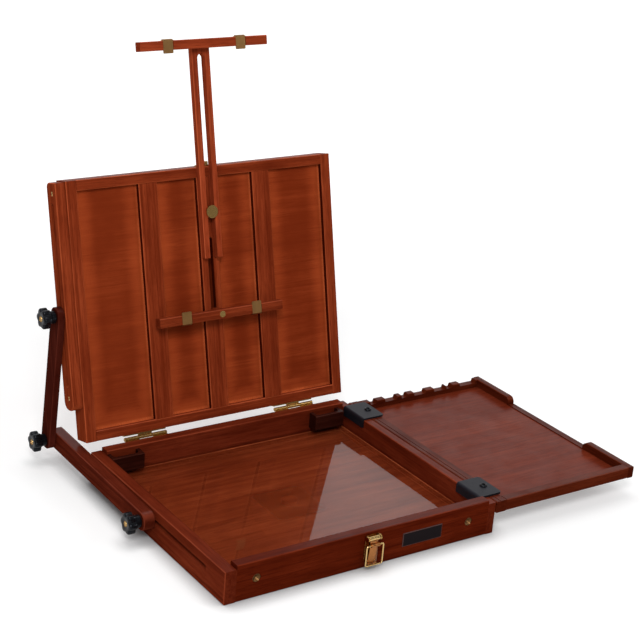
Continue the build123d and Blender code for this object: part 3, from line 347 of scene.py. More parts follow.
class Wood(Paint):
    """Lacquered hardwood whose grain is turned along one direction."""

    def __init__(self, name, turn, tone, seed, figure=1.0):
        super().__init__(name)
        self.turn = turn
        self.tone = tone
        cut = (turn, tuple(seed * step for step in NEXT_BOARD))
        self.grain = self.noise(GRAIN, 5.0, 0.62, *cut)
        bands = self.noise(BANDS, 2.0, 0.5, *cut)
        pores = self.noise(PORES, 2.0, 0.5, *cut)
        self.blotch = self.noise(BLOTCHES, 3.0, 0.55, *cut)
        of_grain, of_bands, of_blotch = TONE_SHARES
        level = self.grain * of_grain + bands * of_bands + self.blotch * of_blotch
        spread = TONE_SPREAD / figure
        darkest = (0.5 - spread, shaded(tone, DARKEST))
        palest = (0.5 + spread, shaded(tone, PALEST))
        self.base = self.ramp(level, darkest, (0.5, tone), palest)
        self.pits = self.ramp(pores, (PORE_RIM[0], 0.0), (PORE_RIM[1], 1.0))
        self.base = self.mix((1 - self.pits) * PORE_SHARE, self.base, shaded(tone, PORE_LEVEL))
        streaks = self.noise(STREAKS, 3.0, 0.6, *cut)
        self.rub(self.step(streaks, *STREAK_RIM), STREAK_LEVEL, STREAK_SHARE * figure)
        along = self.axis(self.facing(turn), 0)
        rings = self.noise(END_RINGS, 3.0, 0.6, *cut)
        ends = self.step(along * along, *END_FACE)
        self.rub(ends * self.step(rings, *RING_RIM, 0.5, 1.0), END_LEVEL, END_SHARE)

    def rub(self, mask, level, strength):
        """Lighter or darker wood where a mask says."""
        self.base = self.mix((mask * strength).held(), self.base, shaded(self.tone, level))

    def finish(self, gloss=0.36, edge=0.55):
        """Paint the eased edges pale, as wear and as a painted highlight, then lacquer the whole.
        """
        # Wear and painted highlight: the eased edges are made paler in the base colour.
        worn_and_lit = self.bevels(self.turn) * self.step(self.blotch, *EDGE_WEAR_AND_HIGHLIGHT_RIM, 0.35, 1.0)
        self.rub(worn_and_lit, EDGE_WEAR_AND_HIGHLIGHT_LEVEL, edge)
        haze = self.noise(HAZE, 3.0, 0.5, self.turn)
        rising = self.axis(self.facing(), 2)
        coat = self.step(rising, *LEVEL_FACE, SIDE_COAT, TOP_COAT)
        return self.surface(
            base_color=self.base,
            roughness=gloss + haze * GLOSS_SWING - GLOSS_SWING / 2,
            normal=self.bump(self.pits * 0.6 + self.grain * 0.4, RELIEF_STRENGTH, RELIEF),
            specular_ior_level=0.0,
            coat_weight=coat * (haze + 0.5),
            coat_roughness=COAT_ROUGHNESS,
        )


FRONT_TONE = (0.104, 0.0112, 0.0028)
WALL_TONE = (0.142, 0.0190, 0.0064)
for number, (name, turn, tone) in enumerate(
    (
        ("base_front_wall", ALONG_X, FRONT_TONE),
        ("base_back_wall", ALONG_X, WALL_TONE),
        ("base_left_wall", ALONG_Y, WALL_TONE),
        ("base_right_wall", ALONG_Y, WALL_TONE),
    )
):
    wear(Wood(f"mahogany_{name}", turn, tone, number + 1.0).finish(), name)

# ---------------------------------------------------------------- threaded inserts
# Two turned brass inserts pressed in the front wall, a little below its face. They have a
# chamfered rim and an inside thread, and have gone dull.
MM = 0.001
INSERT_RADIUS = 4.6
INSERT_DEPTH = 9.5
INSERT_THREAD = 3.2
INSERT_CHAMFER = 0.4
THREAD_LEAD = 0.6  # the wider mouth of the thread
THREAD_START = 0.8  # below the face
THREAD_DEPTH = 0.5
THREAD_TURNS = 7
SMEARS = 60
FLECKS = 900
SMEAR_LEVEL = 0.4
SMEAR_ROUGHNESS = 0.18
FLECK_STRENGTH = 0.08
FLECK_DEPTH = 0.0002
AGED_BRASS = (0.27, 0.135, 0.052)


def metal(name, colour, rough, spots):
    """A metal with faint smears and small marks."""
    paint = Paint(name)
    smear = paint.noise(SMEARS, 4.0, 0.6)
    fleck = paint.noise(FLECKS, 2.0, 0.5)
    smeared = tuple(part * SMEAR_LEVEL for part in colour)
    return paint.surface(
        base_color=paint.mix((smear * spots).held(), colour, smeared),
        metallic=1.0,
        roughness=rough + smear * SMEAR_ROUGHNESS,
        normal=paint.bump(fleck, FLECK_STRENGTH, FLECK_DEPTH),
    )


def turned(name, rings, sides=48, bored=False):
    """A turned piece standing on the origin, drawn up from a circle ring by ring.

    A ring is a radius and a height in millimetres. A bored piece ends under its first ring."""
    bpy.ops.object.select_all(action="DESELECT")
    radius, height = rings[0]
    bpy.ops.mesh.primitive_circle_add(vertices=sides, radius=radius * MM)
    piece = bpy.context.object
    piece.name = name
    bpy.ops.object.mode_set(mode="EDIT")
    bpy.ops.mesh.select_all(action="SELECT")
    bpy.ops.transform.translate(value=(0, 0, height * MM))
    for wider, higher in rings[1:]:
        rise = {"value": (0, 0, (higher - height) * MM)}
        bpy.ops.mesh.extrude_region_move(TRANSFORM_OT_translate=rise)
        spread = (wider / radius, wider / radius, 1)
        bpy.ops.transform.resize(value=spread, center_override=(0, 0, 0))
        radius, height = wider, higher
    bpy.ops.mesh.select_all(action="DESELECT")
    bpy.ops.mesh.select_non_manifold()
    if bored:
        bpy.ops.mesh.bridge_edge_loops()
    else:
        bpy.ops.mesh.fill_holes(sides=0)
    bpy.ops.mesh.select_all(action="SELECT")
    bpy.ops.mesh.normals_make_consistent(inside=False)
    bpy.ops.object.mode_set(mode="OBJECT")
    return piece


def smooth(piece, angle):
    """Shade a piece smooth except at its sharp edges."""
    bpy.ops.object.select_all(action="DESELECT")
    piece.select_set(True)
    bpy.context.view_layer.objects.active = piece
    bpy.ops.object.shade_smooth_by_angle(angle=radians(angle))


def twin(piece, name):
    """A copy of a piece with its own mesh."""
    copied = piece.copy()
    copied.data = piece.data.copy()
    copied.name = name
    bpy.context.scene.collection.objects.link(copied)
    return copied


def settle(piece, place, facing):
    """Put a finished piece's mesh in its place, its own up turned to face a direction."""
    turn = Vector(facing).to_track_quat("Z", "Y").to_matrix().to_4x4()
    piece.data.transform(Matrix.Translation(place) @ turn)


def dress(piece, material, slot, body, *stands_for):
    """Give a finished piece its material and the body it rides on."""
    piece.data.materials.clear()
    piece.data.materials.append(material)
    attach(piece, body)
    if stands_for:
        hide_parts(*stands_for)


def rows(first, name, places, facing):
    """Copies of one piece, each set down in a place; the first one takes the first place."""
    pieces = [first] + [twin(first, f"{name}_{number + 2}") for number in range(len(places) - 1)]
    for piece, place in zip(pieces, places):
        settle(piece, place, facing)
    return pieces


aged_brass = metal("aged_brass", AGED_BRASS, rough=0.36, spots=0.9)
thread = [
    (INSERT_THREAD - THREAD_DEPTH * (step % 2), INSERT_DEPTH - THREAD_START - THREAD_DEPTH * step)
    for step in range(2 * THREAD_TURNS)
]
insert = turned(
    "threaded_insert",
    [
        (INSERT_RADIUS, 0),
        (INSERT_RADIUS, INSERT_DEPTH - INSERT_CHAMFER),
        (INSERT_RADIUS - INSERT_CHAMFER, INSERT_DEPTH),
        (INSERT_THREAD + THREAD_LEAD, INSERT_DEPTH),
        *thread,
    ],
)
smooth(insert, 30)
low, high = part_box("front_inserts")
insert_z = (low.z + high.z) / 2
reach = INSERT_RADIUS * MM
insert_places = [(x, high.y, insert_z) for x in (low.x + reach, high.x - reach)]
for piece in rows(insert, "threaded_insert", insert_places, (0, -1, 0)):
    dress(piece, aged_brass, "worn_brass", "base", "front_inserts")

# ---------------------------------------------------------------- floor and corner blocks
# A plain hardwood panel between the walls, with a pale line painted under the glass's rim: a
# painted highlight for the light that the glass's edge catches.
# Two hardwood blocks with finger recesses are glued to the back wall, one in each corner. They
# are painted nearly black: painted shade, for they stand in shadow.
FLOOR_PANEL_TONE = (0.330, 0.052, 0.0155)
SHADED_BLOCK_TONE = (0.030, 0.0056, 0.0032)
GLASS_EDGE_HIGHLIGHT = 0.0017  # half the width of the painted highlight line
GLASS_EDGE_HIGHLIGHT_LEVEL = 3.0
bottom = Wood("mahogany_base_floor", ALONG_X, FLOOR_PANEL_TONE, 7.0)
here = bottom.place()
# Painted highlight: a pale line under the glass's rim stands in for the light its edge catches.
highlight_patches = bottom.step(bottom.blotch, 0.3, 0.7, 0.4, 1.0)
rim = 0.0
for number in (0, 1):
    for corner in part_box("palette_glass"):
        off = bottom.axis(here, number) - corner[number]
        rim = bottom.step(off * off, 0.0, GLASS_EDGE_HIGHLIGHT**2, 1.0, 0.0) + rim
bottom.rub(rim.held() * highlight_patches, GLASS_EDGE_HIGHLIGHT_LEVEL, 0.9)
wear(bottom.finish(), "base_floor")
# Painted shade: the corner blocks' tone is nearly black, for the shadow they stand in.
blocks = Wood("shaded_corner_blocks", ALONG_X, SHADED_BLOCK_TONE, 8.0)
wear(blocks.finish(), "corner_block_left", "corner_block_right")

# ---------------------------------------------------------------- palette glass
# A loose sheet of clear float glass, on which paint is mixed. It lies on the floor between the
# walls and is held by nothing else.
GLASS_TINT = (0.95, 0.96, 0.95, 1)
GLASS_IOR = 1.58  # a little above clean glass, for the film of oil on it
GLASS_ROUGHNESS = 0.012

paint = Paint("palette_glass")
mirror = {"Color": (1, 1, 1, 1), "Roughness": GLASS_ROUGHNESS}
mirror = paint.node("ShaderNodeBsdfGlossy", {}, mirror)
clear = paint.node("ShaderNodeBsdfTransparent", {}, {"Color": GLASS_TINT})
outside = 1 - paint.node("ShaderNodeNewGeometry", output="Backfacing")
share = paint.node("ShaderNodeFresnel", {}, {"IOR": GLASS_IOR}) * outside
both = paint.node("ShaderNodeMixShader", {}, {0: share, 1: clear, 2: mirror})
paint.tree.links.new(both.socket, paint.tree.nodes["Material Output"].inputs["Surface"])
wear(paint.owner, "palette_glass")

# ---------------------------------------------------------------- tripod plate
# A zinc plated steel plate under the floor, its threaded boss let into it from below. A camera
# screw carries the box by it.
ZINC = (0.55, 0.56, 0.58)
wear(metal("zinc_steel", ZINC, rough=0.3, spots=0.4), "tripod_plate")

# ---------------------------------------------------------------- lid
# Hardwood rails glued round two thin panels, with three stiles over the front one and a grooved
# bar screwed on the left edge. The front panel is paler along the rails and stiles and darker in
# the middle of each bay, and a little paler to the left, a painted light. The sides of the stiles
# and of the right rail are painted dark, a painted shade.
LID_TONE = (0.235, 0.034, 0.0098)
LID_EDGE_WEAR_AND_HIGHLIGHT = 0.8
SIDE_FACE = (0.6, 0.95)  # squares of the normal's part along x, from front to side face
PAINTED_SIDE_SHADE = 0.2
SIDE_END = (0.151, 0.152)  # past these only the right rail's outer face looks sideways
for number, (name, turn) in enumerate(
    (
        ("lid_left_rail", LID_ALONG_U),
        ("lid_right_rail", LID_ALONG_U),
        ("lid_bottom_rail", LID_ALONG_X),
        ("lid_top_rail", LID_ALONG_X),
        ("lid_stile_left", LID_ALONG_U),
        ("lid_stile_middle", LID_ALONG_U),
        ("lid_stile_right", LID_ALONG_U),
        ("side_bar", LID_ALONG_U),
        ("lid_core_rib", LID_ALONG_U),
    )
):
    lath = Wood(f"mahogany_{name}", turn, LID_TONE, number + 11.0)
    # Painted shade: the side faces of the stiles and the inner side of the right rail are painted
    # dark.
    if name.startswith("lid_stile") or name == "lid_right_rail":
        sideways = lath.axis(lath.facing(), 0)
        inner = lath.step(lath.axis(lath.place(), 0), *SIDE_END, 1.0, 0.0)
        lath.rub(lath.step(sideways * sideways, *SIDE_FACE) * inner, PAINTED_SIDE_SHADE, 0.95)
    wear(lath.finish(edge=LID_EDGE_WEAR_AND_HIGHLIGHT), name)

PANEL_TONE = (0.290, 0.042, 0.0105)
PANEL_GLOSS = 0.34
BAY_EDGES = (-0.1525, -0.081, -0.059, -0.011, 0.011, 0.059, 0.081, 0.1505)  # the bays' sides in x
BAY_FOOT = 0.011  # the bays' lower end, up the lid
BAY_FADE = 0.022  # the width of the paler border
BAY_LINE = 0.0035  # and of the paler, broken line at its rim
LINE_FOOT = 0.012
SIDE_BLEND = 0.001
BAY_LEVEL = 0.6
BORDER_LEVEL = 1.3
LINE_LEVEL = 2.8
PAINTED_LIGHT_SIDE = (-0.15, 0.03)  # painted light: the panel is a little paler to the left, towards the key lamp
PAINTED_LIGHT_LEVEL = 1.5
LINE_BREAKUP = 1300
HINGE_LINE = (0.1425, 0.039)  # y and z
LID_START = 0.0045  # up the lid from the hinge line
LID_FOOT = (HINGE_LINE[0] + LID_START * sin(LEAN), HINGE_LINE[1] + LID_START * cos(LEAN))
panel = Wood("mahogany_lid_front_panel", LID_ALONG_X, PANEL_TONE, 21.0)
here = panel.place()
across = panel.axis(here, 0)
back_of_foot = panel.axis(here, 1) - LID_FOOT[0]
over_foot = panel.axis(here, 2) - LID_FOOT[1]
up_lid = back_of_foot * sin(LEAN) + over_foot * cos(LEAN)
faded = panel.step(up_lid, BAY_FOOT, BAY_FOOT + BAY_FADE, 1.0, 0.0)
line = panel.step(up_lid, LINE_FOOT, LINE_FOOT + BAY_LINE, 1.0, 0.0)
for side, edge in enumerate(BAY_EDGES):
    inward = 1 if side % 2 == 0 else -1
    distance = (across - edge) * inward
    inside = panel.step(distance, -SIDE_BLEND, 0.0)
    faded = faded.top(panel.step(distance, 0.0, BAY_FADE, 1.0, 0.0) * inside)
    line = line.top(panel.step(distance, 0.0, BAY_LINE, 1.0, 0.0) * inside)
patchy = panel.step(panel.blotch, 0.36, 0.60, 0.1, 1.0)
# Painted light: the panel's colour grows paler towards its left, where the key lamp stands.
panel.rub(panel.step(across, *PAINTED_LIGHT_SIDE, 1.0, 0.0), PAINTED_LIGHT_LEVEL, 0.25)
line_breakup = panel.step(panel.noise(LINE_BREAKUP, 3.0, 0.6), 0.35, 0.65, 0.3, 1.0)
# The bays are darker in the middle and paler along their border, with a paler broken line at the
# rim.
panel.rub((1 - faded) * (1.1 - patchy * 0.3), BAY_LEVEL, 0.75)
panel.rub(faded * (patchy * 0.6 + 0.4), BORDER_LEVEL, 0.8)
panel.rub(line * (patchy * 0.7 + 0.3) * line_breakup, LINE_LEVEL, 0.8)
wear(panel.finish(PANEL_GLOSS), "lid_front_panel")
wear(Wood("mahogany_lid_back_panel", LID_ALONG_U, LID_TONE, 22.0).finish(), "lid_back_panel")

# ---------------------------------------------------------------- arms, mast and bars
# Flat hardwood bars with eased edges: two stay arms bolted together at the left of the box, a
# forked mast that slides on the lid's bolt and carries the upper clamp bar, and a lower clamp bar
# on a stud of its own.
ARM_TONE = (0.105, 0.0145, 0.0060)
UPPER_ARM_TONE = (0.060, 0.0085, 0.0045)
BAR_TONE = (0.30, 0.045, 0.0145)
LOW_BAR_TONE = (0.19, 0.027, 0.0080)
for number, (name, turn, tone) in enumerate(
    (
        ("lower_arm", ALONG_Y, ARM_TONE),
        ("upper_arm", LID_ALONG_U, UPPER_ARM_TONE),
        ("mast", LID_ALONG_U, BAR_TONE),
        ("top_bar", LID_ALONG_X, BAR_TONE),
        ("bottom_bar", LID_ALONG_X, LOW_BAR_TONE),
    )
):
    wear(Wood(f"mahogany_{name}", turn, tone, number + 31.0).finish(), name)

# ---------------------------------------------------------------- clips
# Four brass clips, each a tongue of sheet curled round a brass pin that is let into its bar. The
# sheet has gone dull, and the pins have stayed bright.
DULL_BRASS = (0.44, 0.235, 0.085)
BRIGHT_BRASS = (0.86, 0.58, 0.24)
dull_brass = metal("dulled_brass", DULL_BRASS, rough=0.30, spots=0.9)
bright_brass = metal("bright_brass", BRIGHT_BRASS, rough=0.10, spots=0.5)
wear(dull_brass, "top_clip_left", "top_clip_right", "bottom_clip_left", "bottom_clip_right")
wear(bright_brass, "top_clip_pins", "bottom_clip_pins")

# ---------------------------------------------------------------- knobs and bolts
# Five moulded knobs of glossy black phenolic on stepped necks, with six finger lobes and a brass
# bush in the crown. Each turns on a brass bolt, three outside the stay's arms and two behind the
# lid.
KNOB_NECK = 6.7
KNOB_RADIUS = 11.2
KNOB_LOBES = 6
LOBE_DEPTH = 2.4
LOBE_WIDTH = 0.6  # under 1 the lobes are wider than the flutes between them
LOBES_START = 2.5  # outside the neck, where the flutes run out
HEAD_FOOT = 7.0  # where the lobed head begins on the neck
KNOB_TOP = 15.6
BUSH_RADIUS = 3.1
BUSH_FOOT = 13.6
BUSH_TOP = 15.3
BOLT_BORE = 2.7
KNOB_HAZE = 90
KNOB_DUST = 700
PHENOLIC_BLACK = (0.0045, 0.0045, 0.0055)
DUSTY_BLACK = (0.012, 0.012, 0.014)
BRASS = (0.74, 0.45, 0.15)

knob = turned(
    "moulded_knob",
    [
        (KNOB_NECK - 0.4, 0),
        (KNOB_NECK, 0.4),
        (KNOB_NECK, 4.6),
        (KNOB_NECK - 0.5, 5.1),
        (KNOB_NECK - 0.5, 6.6),
        (KNOB_NECK + 0.4, HEAD_FOOT),
        (KNOB_RADIUS - 1.0, HEAD_FOOT),
        (KNOB_RADIUS - 0.3, HEAD_FOOT + 0.3),
        (KNOB_RADIUS, HEAD_FOOT + 1.0),
        (KNOB_RADIUS, KNOB_TOP - 2.4),
        (KNOB_RADIUS - 0.15, KNOB_TOP - 1.6),
        (KNOB_RADIUS - 0.6, KNOB_TOP - 0.9),
        (KNOB_RADIUS - 1.3, KNOB_TOP - 0.35),
        (KNOB_RADIUS - 2.2, KNOB_TOP - 0.1),
        (KNOB_NECK + 0.3, KNOB_TOP),
        (KNOB_NECK - 0.6, KNOB_TOP - 0.1),
        (BUSH_RADIUS + 0.7, BUSH_TOP - 0.2),
        (BUSH_RADIUS, BUSH_TOP - 0.3),
        (BUSH_RADIUS, BUSH_FOOT),
        (BOLT_BORE, BUSH_FOOT),
        (BOLT_BORE, 0),
    ],
    sides=96,
    bored=True,
)
for point in knob.data.vertices:
    reach = hypot(point.co.x, point.co.y)
    share = min(max((reach / MM - KNOB_NECK) / LOBES_START, 0), 1)
    wave = (0.5 + 0.5 * cos(KNOB_LOBES * atan2(point.co.y, point.co.x))) ** LOBE_WIDTH
    narrowed = 1 - share * LOBE_DEPTH / KNOB_RADIUS * (1 - wave)
    point.co.x *= narrowed
    point.co.y *= narrowed
smooth(knob, 40)
bush = turned(
    "knob_bush",
    [
        (BUSH_RADIUS, BUSH_FOOT + 0.1),
        (BUSH_RADIUS, BUSH_TOP - 0.2),
        (BUSH_RADIUS - 0.1, BUSH_TOP),
        (BOLT_BORE + 0.15, BUSH_TOP),
        (BOLT_BORE + 0.05, BUSH_TOP - 0.3),
        (BOLT_BORE + 0.05, BUSH_FOOT + 0.1),
    ],
    bored=True,
)
smooth(bush, 30)

paint = Paint("black_phenolic")
haze = paint.noise(KNOB_HAZE, 3.0, 0.5)
dust = paint.noise(KNOB_DUST, 2.0, 0.6)
phenolic = paint.surface(
    base_color=paint.ramp(dust, (0.55, PHENOLIC_BLACK), (0.75, DUSTY_BLACK)),
    roughness=0.16 + haze * 0.16,
    specular_ior_level=0.20,
    specular_tint=(0.80, 0.88, 1.0),
    normal=paint.bump(haze, 0.06, 0.0005),
)
brass = metal("polished_brass", BRASS, rough=0.14, spots=0.8)
wear(brass, "front_bolt", "rear_bolt", "top_bolt", "mast_bolt", "bottom_bar_stud")
turns = {joint["child"]: joint for joint in frame["joints"]}
for name in ("front_knob", "rear_knob", "top_knob", "mast_knob", "bottom_bar_knob"):
    outward = -Vector(turns[name]["axis"])
    middle = Vector(turns[name]["pos_m"])
    foot_reach = min(corner.co.dot(outward) for corner in nodes[name].data.vertices)
    foot = middle + outward * (foot_reach - middle.dot(outward))
    moulded = twin(knob, f"moulded_{name}")
    settle(moulded, foot, outward)
    dress(moulded, phenolic, "black_plastic", name, name)
    ring = twin(bush, f"bush_of_{name}")
    settle(ring, foot, outward)
    dress(ring, brass, "brass", name)
for pattern in (knob, bush):
    bpy.data.objects.remove(pattern)

# ---------------------------------------------------------------- side bar screws
# Two slotted brass screws with raised heads, driven through the side bar into the lid's left
# rail. They hold the bar there.
SCREW_LENGTH = 5.0
SCREW_RADIUS = 3.4
SCREW_SHANK = 1.5
SCREW_SLOT = (0.9, 1.0)  # width and depth
SCREW_TURN = 25
CUTTER_LENGTH = 0.03


def slotted(piece, height, angle, width, depth):
    """Cut a screwdriver's slot across the top of a head."""
    bpy.ops.mesh.primitive_cube_add(size=1, rotation=(0, 0, radians(angle)))
    cutter = bpy.context.object
    cutter.scale = (CUTTER_LENGTH, width * MM, 2 * depth * MM)
    cutter.location.z = height * MM
    slot = piece.modifiers.new("slot", "BOOLEAN")
    slot.object = cutter
    slot.solver = "EXACT"
    bpy.ops.object.select_all(action="DESELECT")
    bpy.context.view_layer.objects.active = piece
    bpy.ops.object.modifier_apply(modifier=slot.name)
    bpy.data.objects.remove(cutter)


screw = turned(
    "side_bar_screw",
    [
        (SCREW_SHANK, 0),
        (SCREW_SHANK, 2.0),
        (SCREW_RADIUS - 0.15, SCREW_LENGTH - 1.3),
        (SCREW_RADIUS, SCREW_LENGTH - 1.1),
        (SCREW_RADIUS - 0.1, SCREW_LENGTH - 0.8),
        (SCREW_RADIUS - 0.8, SCREW_LENGTH - 0.35),
        (SCREW_RADIUS - 1.8, SCREW_LENGTH - 0.1),
        (SCREW_RADIUS - 2.7, SCREW_LENGTH),
    ],
)
slotted(screw, SCREW_LENGTH, SCREW_TURN, *SCREW_SLOT)
smooth(screw, 30)
low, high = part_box("side_bar_screws")
reach = SCREW_RADIUS * MM
screw_places = [
    (high.x, low.y + reach, low.z + reach),
    (high.x, high.y - reach, high.z - reach),
]
for piece in rows(screw, "side_bar_screw", screw_places, (-1, 0, 0)):
    dress(piece, brass, "brass", "lid", "side_bar_screws")

# ---------------------------------------------------------------- side tray
# Hardwood, glued: two side walls, a front and a back wall between them, and a thin floor. Flared
# rests are cut in the back wall's top edge.
TRAY_TONE = (0.088, 0.0120, 0.0038)
TRAY_FLOOR_TONE = (0.150, 0.0215, 0.0080)
TRAY_FLOOR_FIGURE = 0.6  # plainer than the other pieces
for number, (name, turn, tone) in enumerate(
    (
        ("tray_left_wall", ALONG_Y, TRAY_TONE),
        ("tray_right_wall", ALONG_Y, TRAY_TONE),
        ("tray_front_wall", ALONG_X, TRAY_TONE),
        ("tray_back_wall", ALONG_X, TRAY_TONE),
        ("tray_floor", ALONG_X, TRAY_FLOOR_TONE),
    )
):
    figure = TRAY_FLOOR_FIGURE if name == "tray_floor" else 1.0
    wear(Wood(f"mahogany_{name}", turn, tone, number + 41.0, figure).finish(), name)

# ---------------------------------------------------------------- tray brackets
# Two plates of steel in black powder coat, bent to hook over the base's right wall. One black
# button screw with a socket holds each down on the tray's left wall.
BUTTON_RADIUS = 4.0
BUTTON_HEIGHT = 1.8
BUTTON_SHANK = 1.9
SOCKET_RADIUS = 1.9
SOCKET_FLOOR = 0.5
COAT_GRIT = 1400
COAT_HAZE = 70
COAT_TONES = ((0.0060, 0.0060, 0.0085), (0.014, 0.0135, 0.018))

paint = Paint("black_powder_coat")
grit = paint.noise(COAT_GRIT, 2.0, 0.5)
haze = paint.noise(COAT_HAZE, 3.0, 0.5)
powder_coat = paint.surface(
    base_color=paint.mix(haze, *COAT_TONES),
    roughness=0.30 + grit * 0.14,
    specular_ior_level=0.20,
    specular_tint=(0.82, 0.84, 1.0),
    normal=paint.bump(grit, 0.2, 0.0002),
)
wear(powder_coat, "tray_brackets")
low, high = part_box("bracket_screws")
button = turned(
    "bracket_screw",
    [
        (BUTTON_SHANK, (low.z - high.z) / MM + BUTTON_HEIGHT),
        (BUTTON_SHANK, 0),
        (BUTTON_RADIUS, 0),
        (BUTTON_RADIUS, 0.5),
        (BUTTON_RADIUS - 0.35, 1.1),
        (BUTTON_RADIUS - 1.0, 1.6),
        (SOCKET_RADIUS + 0.3, BUTTON_HEIGHT),
        (SOCKET_RADIUS, BUTTON_HEIGHT - 0.2),
        (SOCKET_RADIUS, SOCKET_FLOOR),
    ],
)
smooth(button, 40)
reach = BUTTON_RADIUS * MM
button_foot = ((low.x + high.x) / 2, high.z - BUTTON_HEIGHT * MM)
button_places = [(button_foot[0], y, button_foot[1]) for y in (low.y + reach, high.y - reach)]
for piece in rows(button, "bracket_screw", button_places, (0, 0, 1)):
    dress(piece, phenolic, "black_steel", "tray", "bracket_screws")

# ---------------------------------------------------------------- draw latch
# Brass: a plate with two ears on the front wall, a thumb lever on the ears' rivet, a wire bail
# that hangs in the lever's boss, and a catch plate screwed on the lid. The lever flares to its tip
# and is crowned across. Its brass, with its boss and tip, is given a copper colour: a painted
# reflection of the red wood round it.
LATCH_X = 4.0
LEVER_TOP = (-144.3, 32.0)  # y and z, as all places here
LEVER_BULGE = (-144.7, 19.0)
LEVER_TIP = (-142.9, 5.6)
LEVER_HALF = (4.4, 5.9)  # at the top and at the tip
LEVER_FLARE = 1.5
LEVER_CROWN = 1.6
LEVER_SHEET = 1.1
LEVER_EASE = 0.35
TIP_PLACE = (-142.5, 5.3)
TIP_RADIUS = 1.1
ROLL_PLACE = (-142.6, 33.6)
ROLL_RADIUS = 2.4
ROLL_HALF = 6.2
ROLL_EASE = 0.3
BAIL_PIVOT = (-145.5, 27.5)
BAIL_HALF = 9.9
BAIL_DROP = 21.9
BAIL_CORNER = 4.5
BAIL_WIRE = 0.9
BOSS_RADIUS = 2.05
BOSS_HALF = 5.0
PAINTED_WOOD_REFLECTION_TONE = (0.50, 0.20, 0.065)

wear(brass, "latch_base", "catch_plate")
# Painted reflection: the lever's brass is coloured copper for the red wood it mirrors.
wood_reflecting_brass = metal("brass_with_painted_wood_reflection", PAINTED_WOOD_REFLECTION_TONE, rough=0.20, spots=0.7)
bpy.ops.object.select_all(action="DESELECT")
bpy.ops.mesh.primitive_grid_add(x_subdivisions=10, y_subdivisions=20, size=2)
lever = bpy.context.object
lever.name = "latch_thumb_lever"
for point in lever.data.vertices:
    across, along = point.co.x, (point.co.y + 1) / 2
    half = LEVER_HALF[0] + (LEVER_HALF[1] - LEVER_HALF[0]) * along**LEVER_FLARE
    weights = (2 * (along - 0.5) * (along - 1), 4 * along * (1 - along), 2 * along * (along - 0.5))
    through = list(zip(weights, (LEVER_TOP, LEVER_BULGE, LEVER_TIP)))
    curve = [sum(weight * spot[axis] for weight, spot in through) for axis in (0, 1)]
    point.co = Vector((LATCH_X + across * half, curve[0] + LEVER_CROWN * across**2, curve[1])) * MM
sheet = lever.modifiers.new("sheet", "SOLIDIFY")
sheet.thickness = LEVER_SHEET * MM
sheet.offset = 0
rounding = lever.modifiers.new("rounding", "BEVEL")
rounding.width = LEVER_EASE * MM
rounding.segments = 2
rounding.limit_method = "ANGLE"
for modifier in (sheet, rounding):
    bpy.ops.object.modifier_apply(modifier=modifier.name)
bpy.ops.object.mode_set(mode="EDIT")
bpy.ops.mesh.select_all(action="SELECT")
bpy.ops.mesh.normals_make_consistent(inside=False)
bpy.ops.object.mode_set(mode="OBJECT")
smooth(lever, 40)
dress(lever, wood_reflecting_brass, "brass", "latch_lever", "latch_lever")


def roll(name, radius, half, place):
    """A round bar across the latch with eased ends."""
    end, shoulder = radius - ROLL_EASE, half - ROLL_EASE
    outline = [(end, -half), (radius, -shoulder), (radius, shoulder), (end, half)]
    bar = turned(name, outline, sides=32)
    settle(bar, Vector((LATCH_X, *place)) * MM, (1, 0, 0))
    smooth(bar, 30)
    return bar


lever_roll = roll("latch_lever_roll", ROLL_RADIUS, ROLL_HALF, ROLL_PLACE)
dress(lever_roll, bright_brass, "brass", "latch_lever")
bail_boss = roll("latch_bail_boss", BOSS_RADIUS, BOSS_HALF, BAIL_PIVOT)
dress(bail_boss, wood_reflecting_brass, "brass", "latch_lever")
lever_tip = roll("latch_lever_tip", TIP_RADIUS, LEVER_HALF[1] - 0.1, TIP_PLACE)
dress(lever_tip, wood_reflecting_brass, "brass", "latch_lever")

bpy.ops.object.select_all(action="DESELECT")
bpy.ops.curve.primitive_nurbs_path_add()
bail = bpy.context.object
bail.name = "latch_wire_bail"
side = [
    (BOSS_HALF - 1, 0),
    (BAIL_HALF - 3, 0),
    (BAIL_HALF, 0),
    (BAIL_HALF, -BAIL_CORNER),
    (BAIL_HALF, BAIL_CORNER - BAIL_DROP),
    (BAIL_HALF, -BAIL_DROP),
    (BAIL_HALF - BAIL_CORNER, -BAIL_DROP),
]
outline = side + [(-x, z) for x, z in reversed(side)]
wire = bail.data.splines[0]
wire.points.add(len(outline) - len(wire.points))
for point, (x, z) in zip(wire.points, outline):
    point.co = (*(Vector((LATCH_X + x, BAIL_PIVOT[0], BAIL_PIVOT[1] + z)) * MM), 1)
wire.order_u = 3
wire.use_endpoint_u = True
wire.resolution_u = 8
bail.data.bevel_depth = BAIL_WIRE * MM
bail.data.bevel_resolution = 4
bail.data.use_fill_caps = True
bpy.ops.object.convert(target="MESH")
bail = bpy.context.object
smooth(bail, 50)
dress(bail, bright_brass, "brass", "latch_bail", "latch_bail")

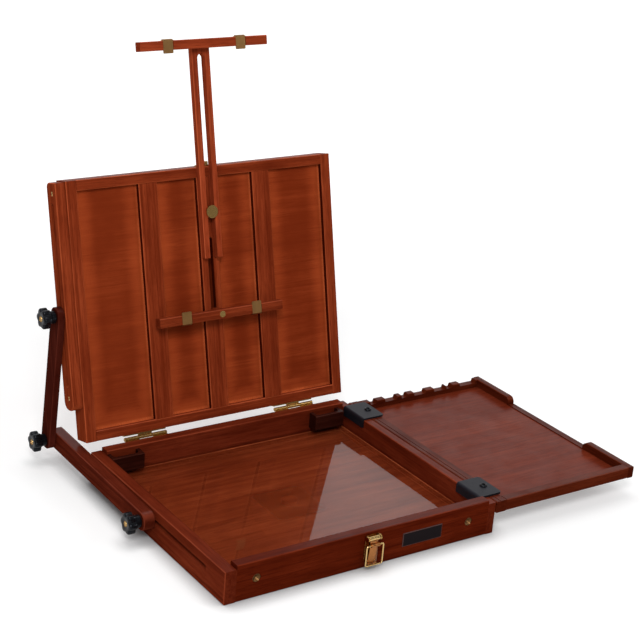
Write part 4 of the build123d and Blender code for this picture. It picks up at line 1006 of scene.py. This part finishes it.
# ---------------------------------------------------------------- hinges
# Two brass butt hinges, their leaves screwed flat on the outside of the back wall and on the
# lid's back, with three small slotted screws in each leaf.
HINGE_AXIS = Vector((0, *HINGE_LINE))
HINGE_MIDDLE = 95.0
HINGE_SCREW_STEP = 17.0
HINGE_SCREW_DROP = 11.0  # from the pin
LEAF_FACE = -3.3  # the leaves' outer face, from the pin
HEAD_RADIUS = 1.9
HEAD_HEIGHT = 0.5
HEAD_SHANK = 0.9
HEAD_SLOT = (0.5, 0.3)  # width and depth
HEAD_TURN = 40

wear(brass, "hinge_base_leaves", "hinge_lid_leaves", "hinge_pins")
head = turned(
    "hinge_screw",
    [
        (HEAD_SHANK, -1.0),
        (HEAD_SHANK, 0),
        (HEAD_RADIUS, 0),
        (HEAD_RADIUS, 0.12),
        (HEAD_RADIUS - 0.3, 0.3),
        (HEAD_RADIUS - 0.9, 0.45),
        (HEAD_RADIUS - 1.5, HEAD_HEIGHT),
    ],
    sides=28,
)
slotted(head, HEAD_HEIGHT, HEAD_TURN, *HEAD_SLOT)
smooth(head, 30)
opened = Matrix.Rotation(-(pi / 2 + LEAN), 4, "X")
for body, turn, drop in (
    ("base", Matrix.Identity(4), -HINGE_SCREW_DROP),
    ("lid", opened, HINGE_SCREW_DROP),
):
    for number in range(6):
        middle = HINGE_MIDDLE if number < 3 else -HINGE_MIDDLE
        x = middle + (number % 3 - 1) * HINGE_SCREW_STEP
        place = HINGE_AXIS + turn @ (Vector((x, LEAF_FACE, drop)) * MM)
        piece = twin(head, f"hinge_screw_{body}_{number + 1}")
        settle(piece, place, turn @ Vector((0, 1, 0)))
        dress(piece, brass, "brass", body)
bpy.data.objects.remove(head)

# ---------------------------------------------------------------- bare plate
# A small plate of sheet metal painted nearly black, fixed flat on the front wall right of the
# latch. Its rim is a dull red brown.
PLATE_TONE = (0.0085, 0.0050, 0.0060)
RIM_TONE = (0.10, 0.050, 0.045)
PLATE_RIM = 0.0011
PLATE_HAZE = 200
paint = Paint("bare_dark_plate")
haze = paint.noise(PLATE_HAZE, 3.0, 0.5)
edge = paint.bevels()
here = paint.place()
for number in (0, 2):
    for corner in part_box("name_plate"):
        off = paint.axis(here, number) - corner[number]
        edge = paint.step(off * off, 0.0, PLATE_RIM**2, 1.0, 0.0) + edge
wear(
    paint.surface(
        base_color=paint.mix((edge * 0.7).held(), PLATE_TONE, RIM_TONE),
        roughness=0.34 + haze * 0.2,
        specular_ior_level=0.05,
    ),
    "name_plate",
)
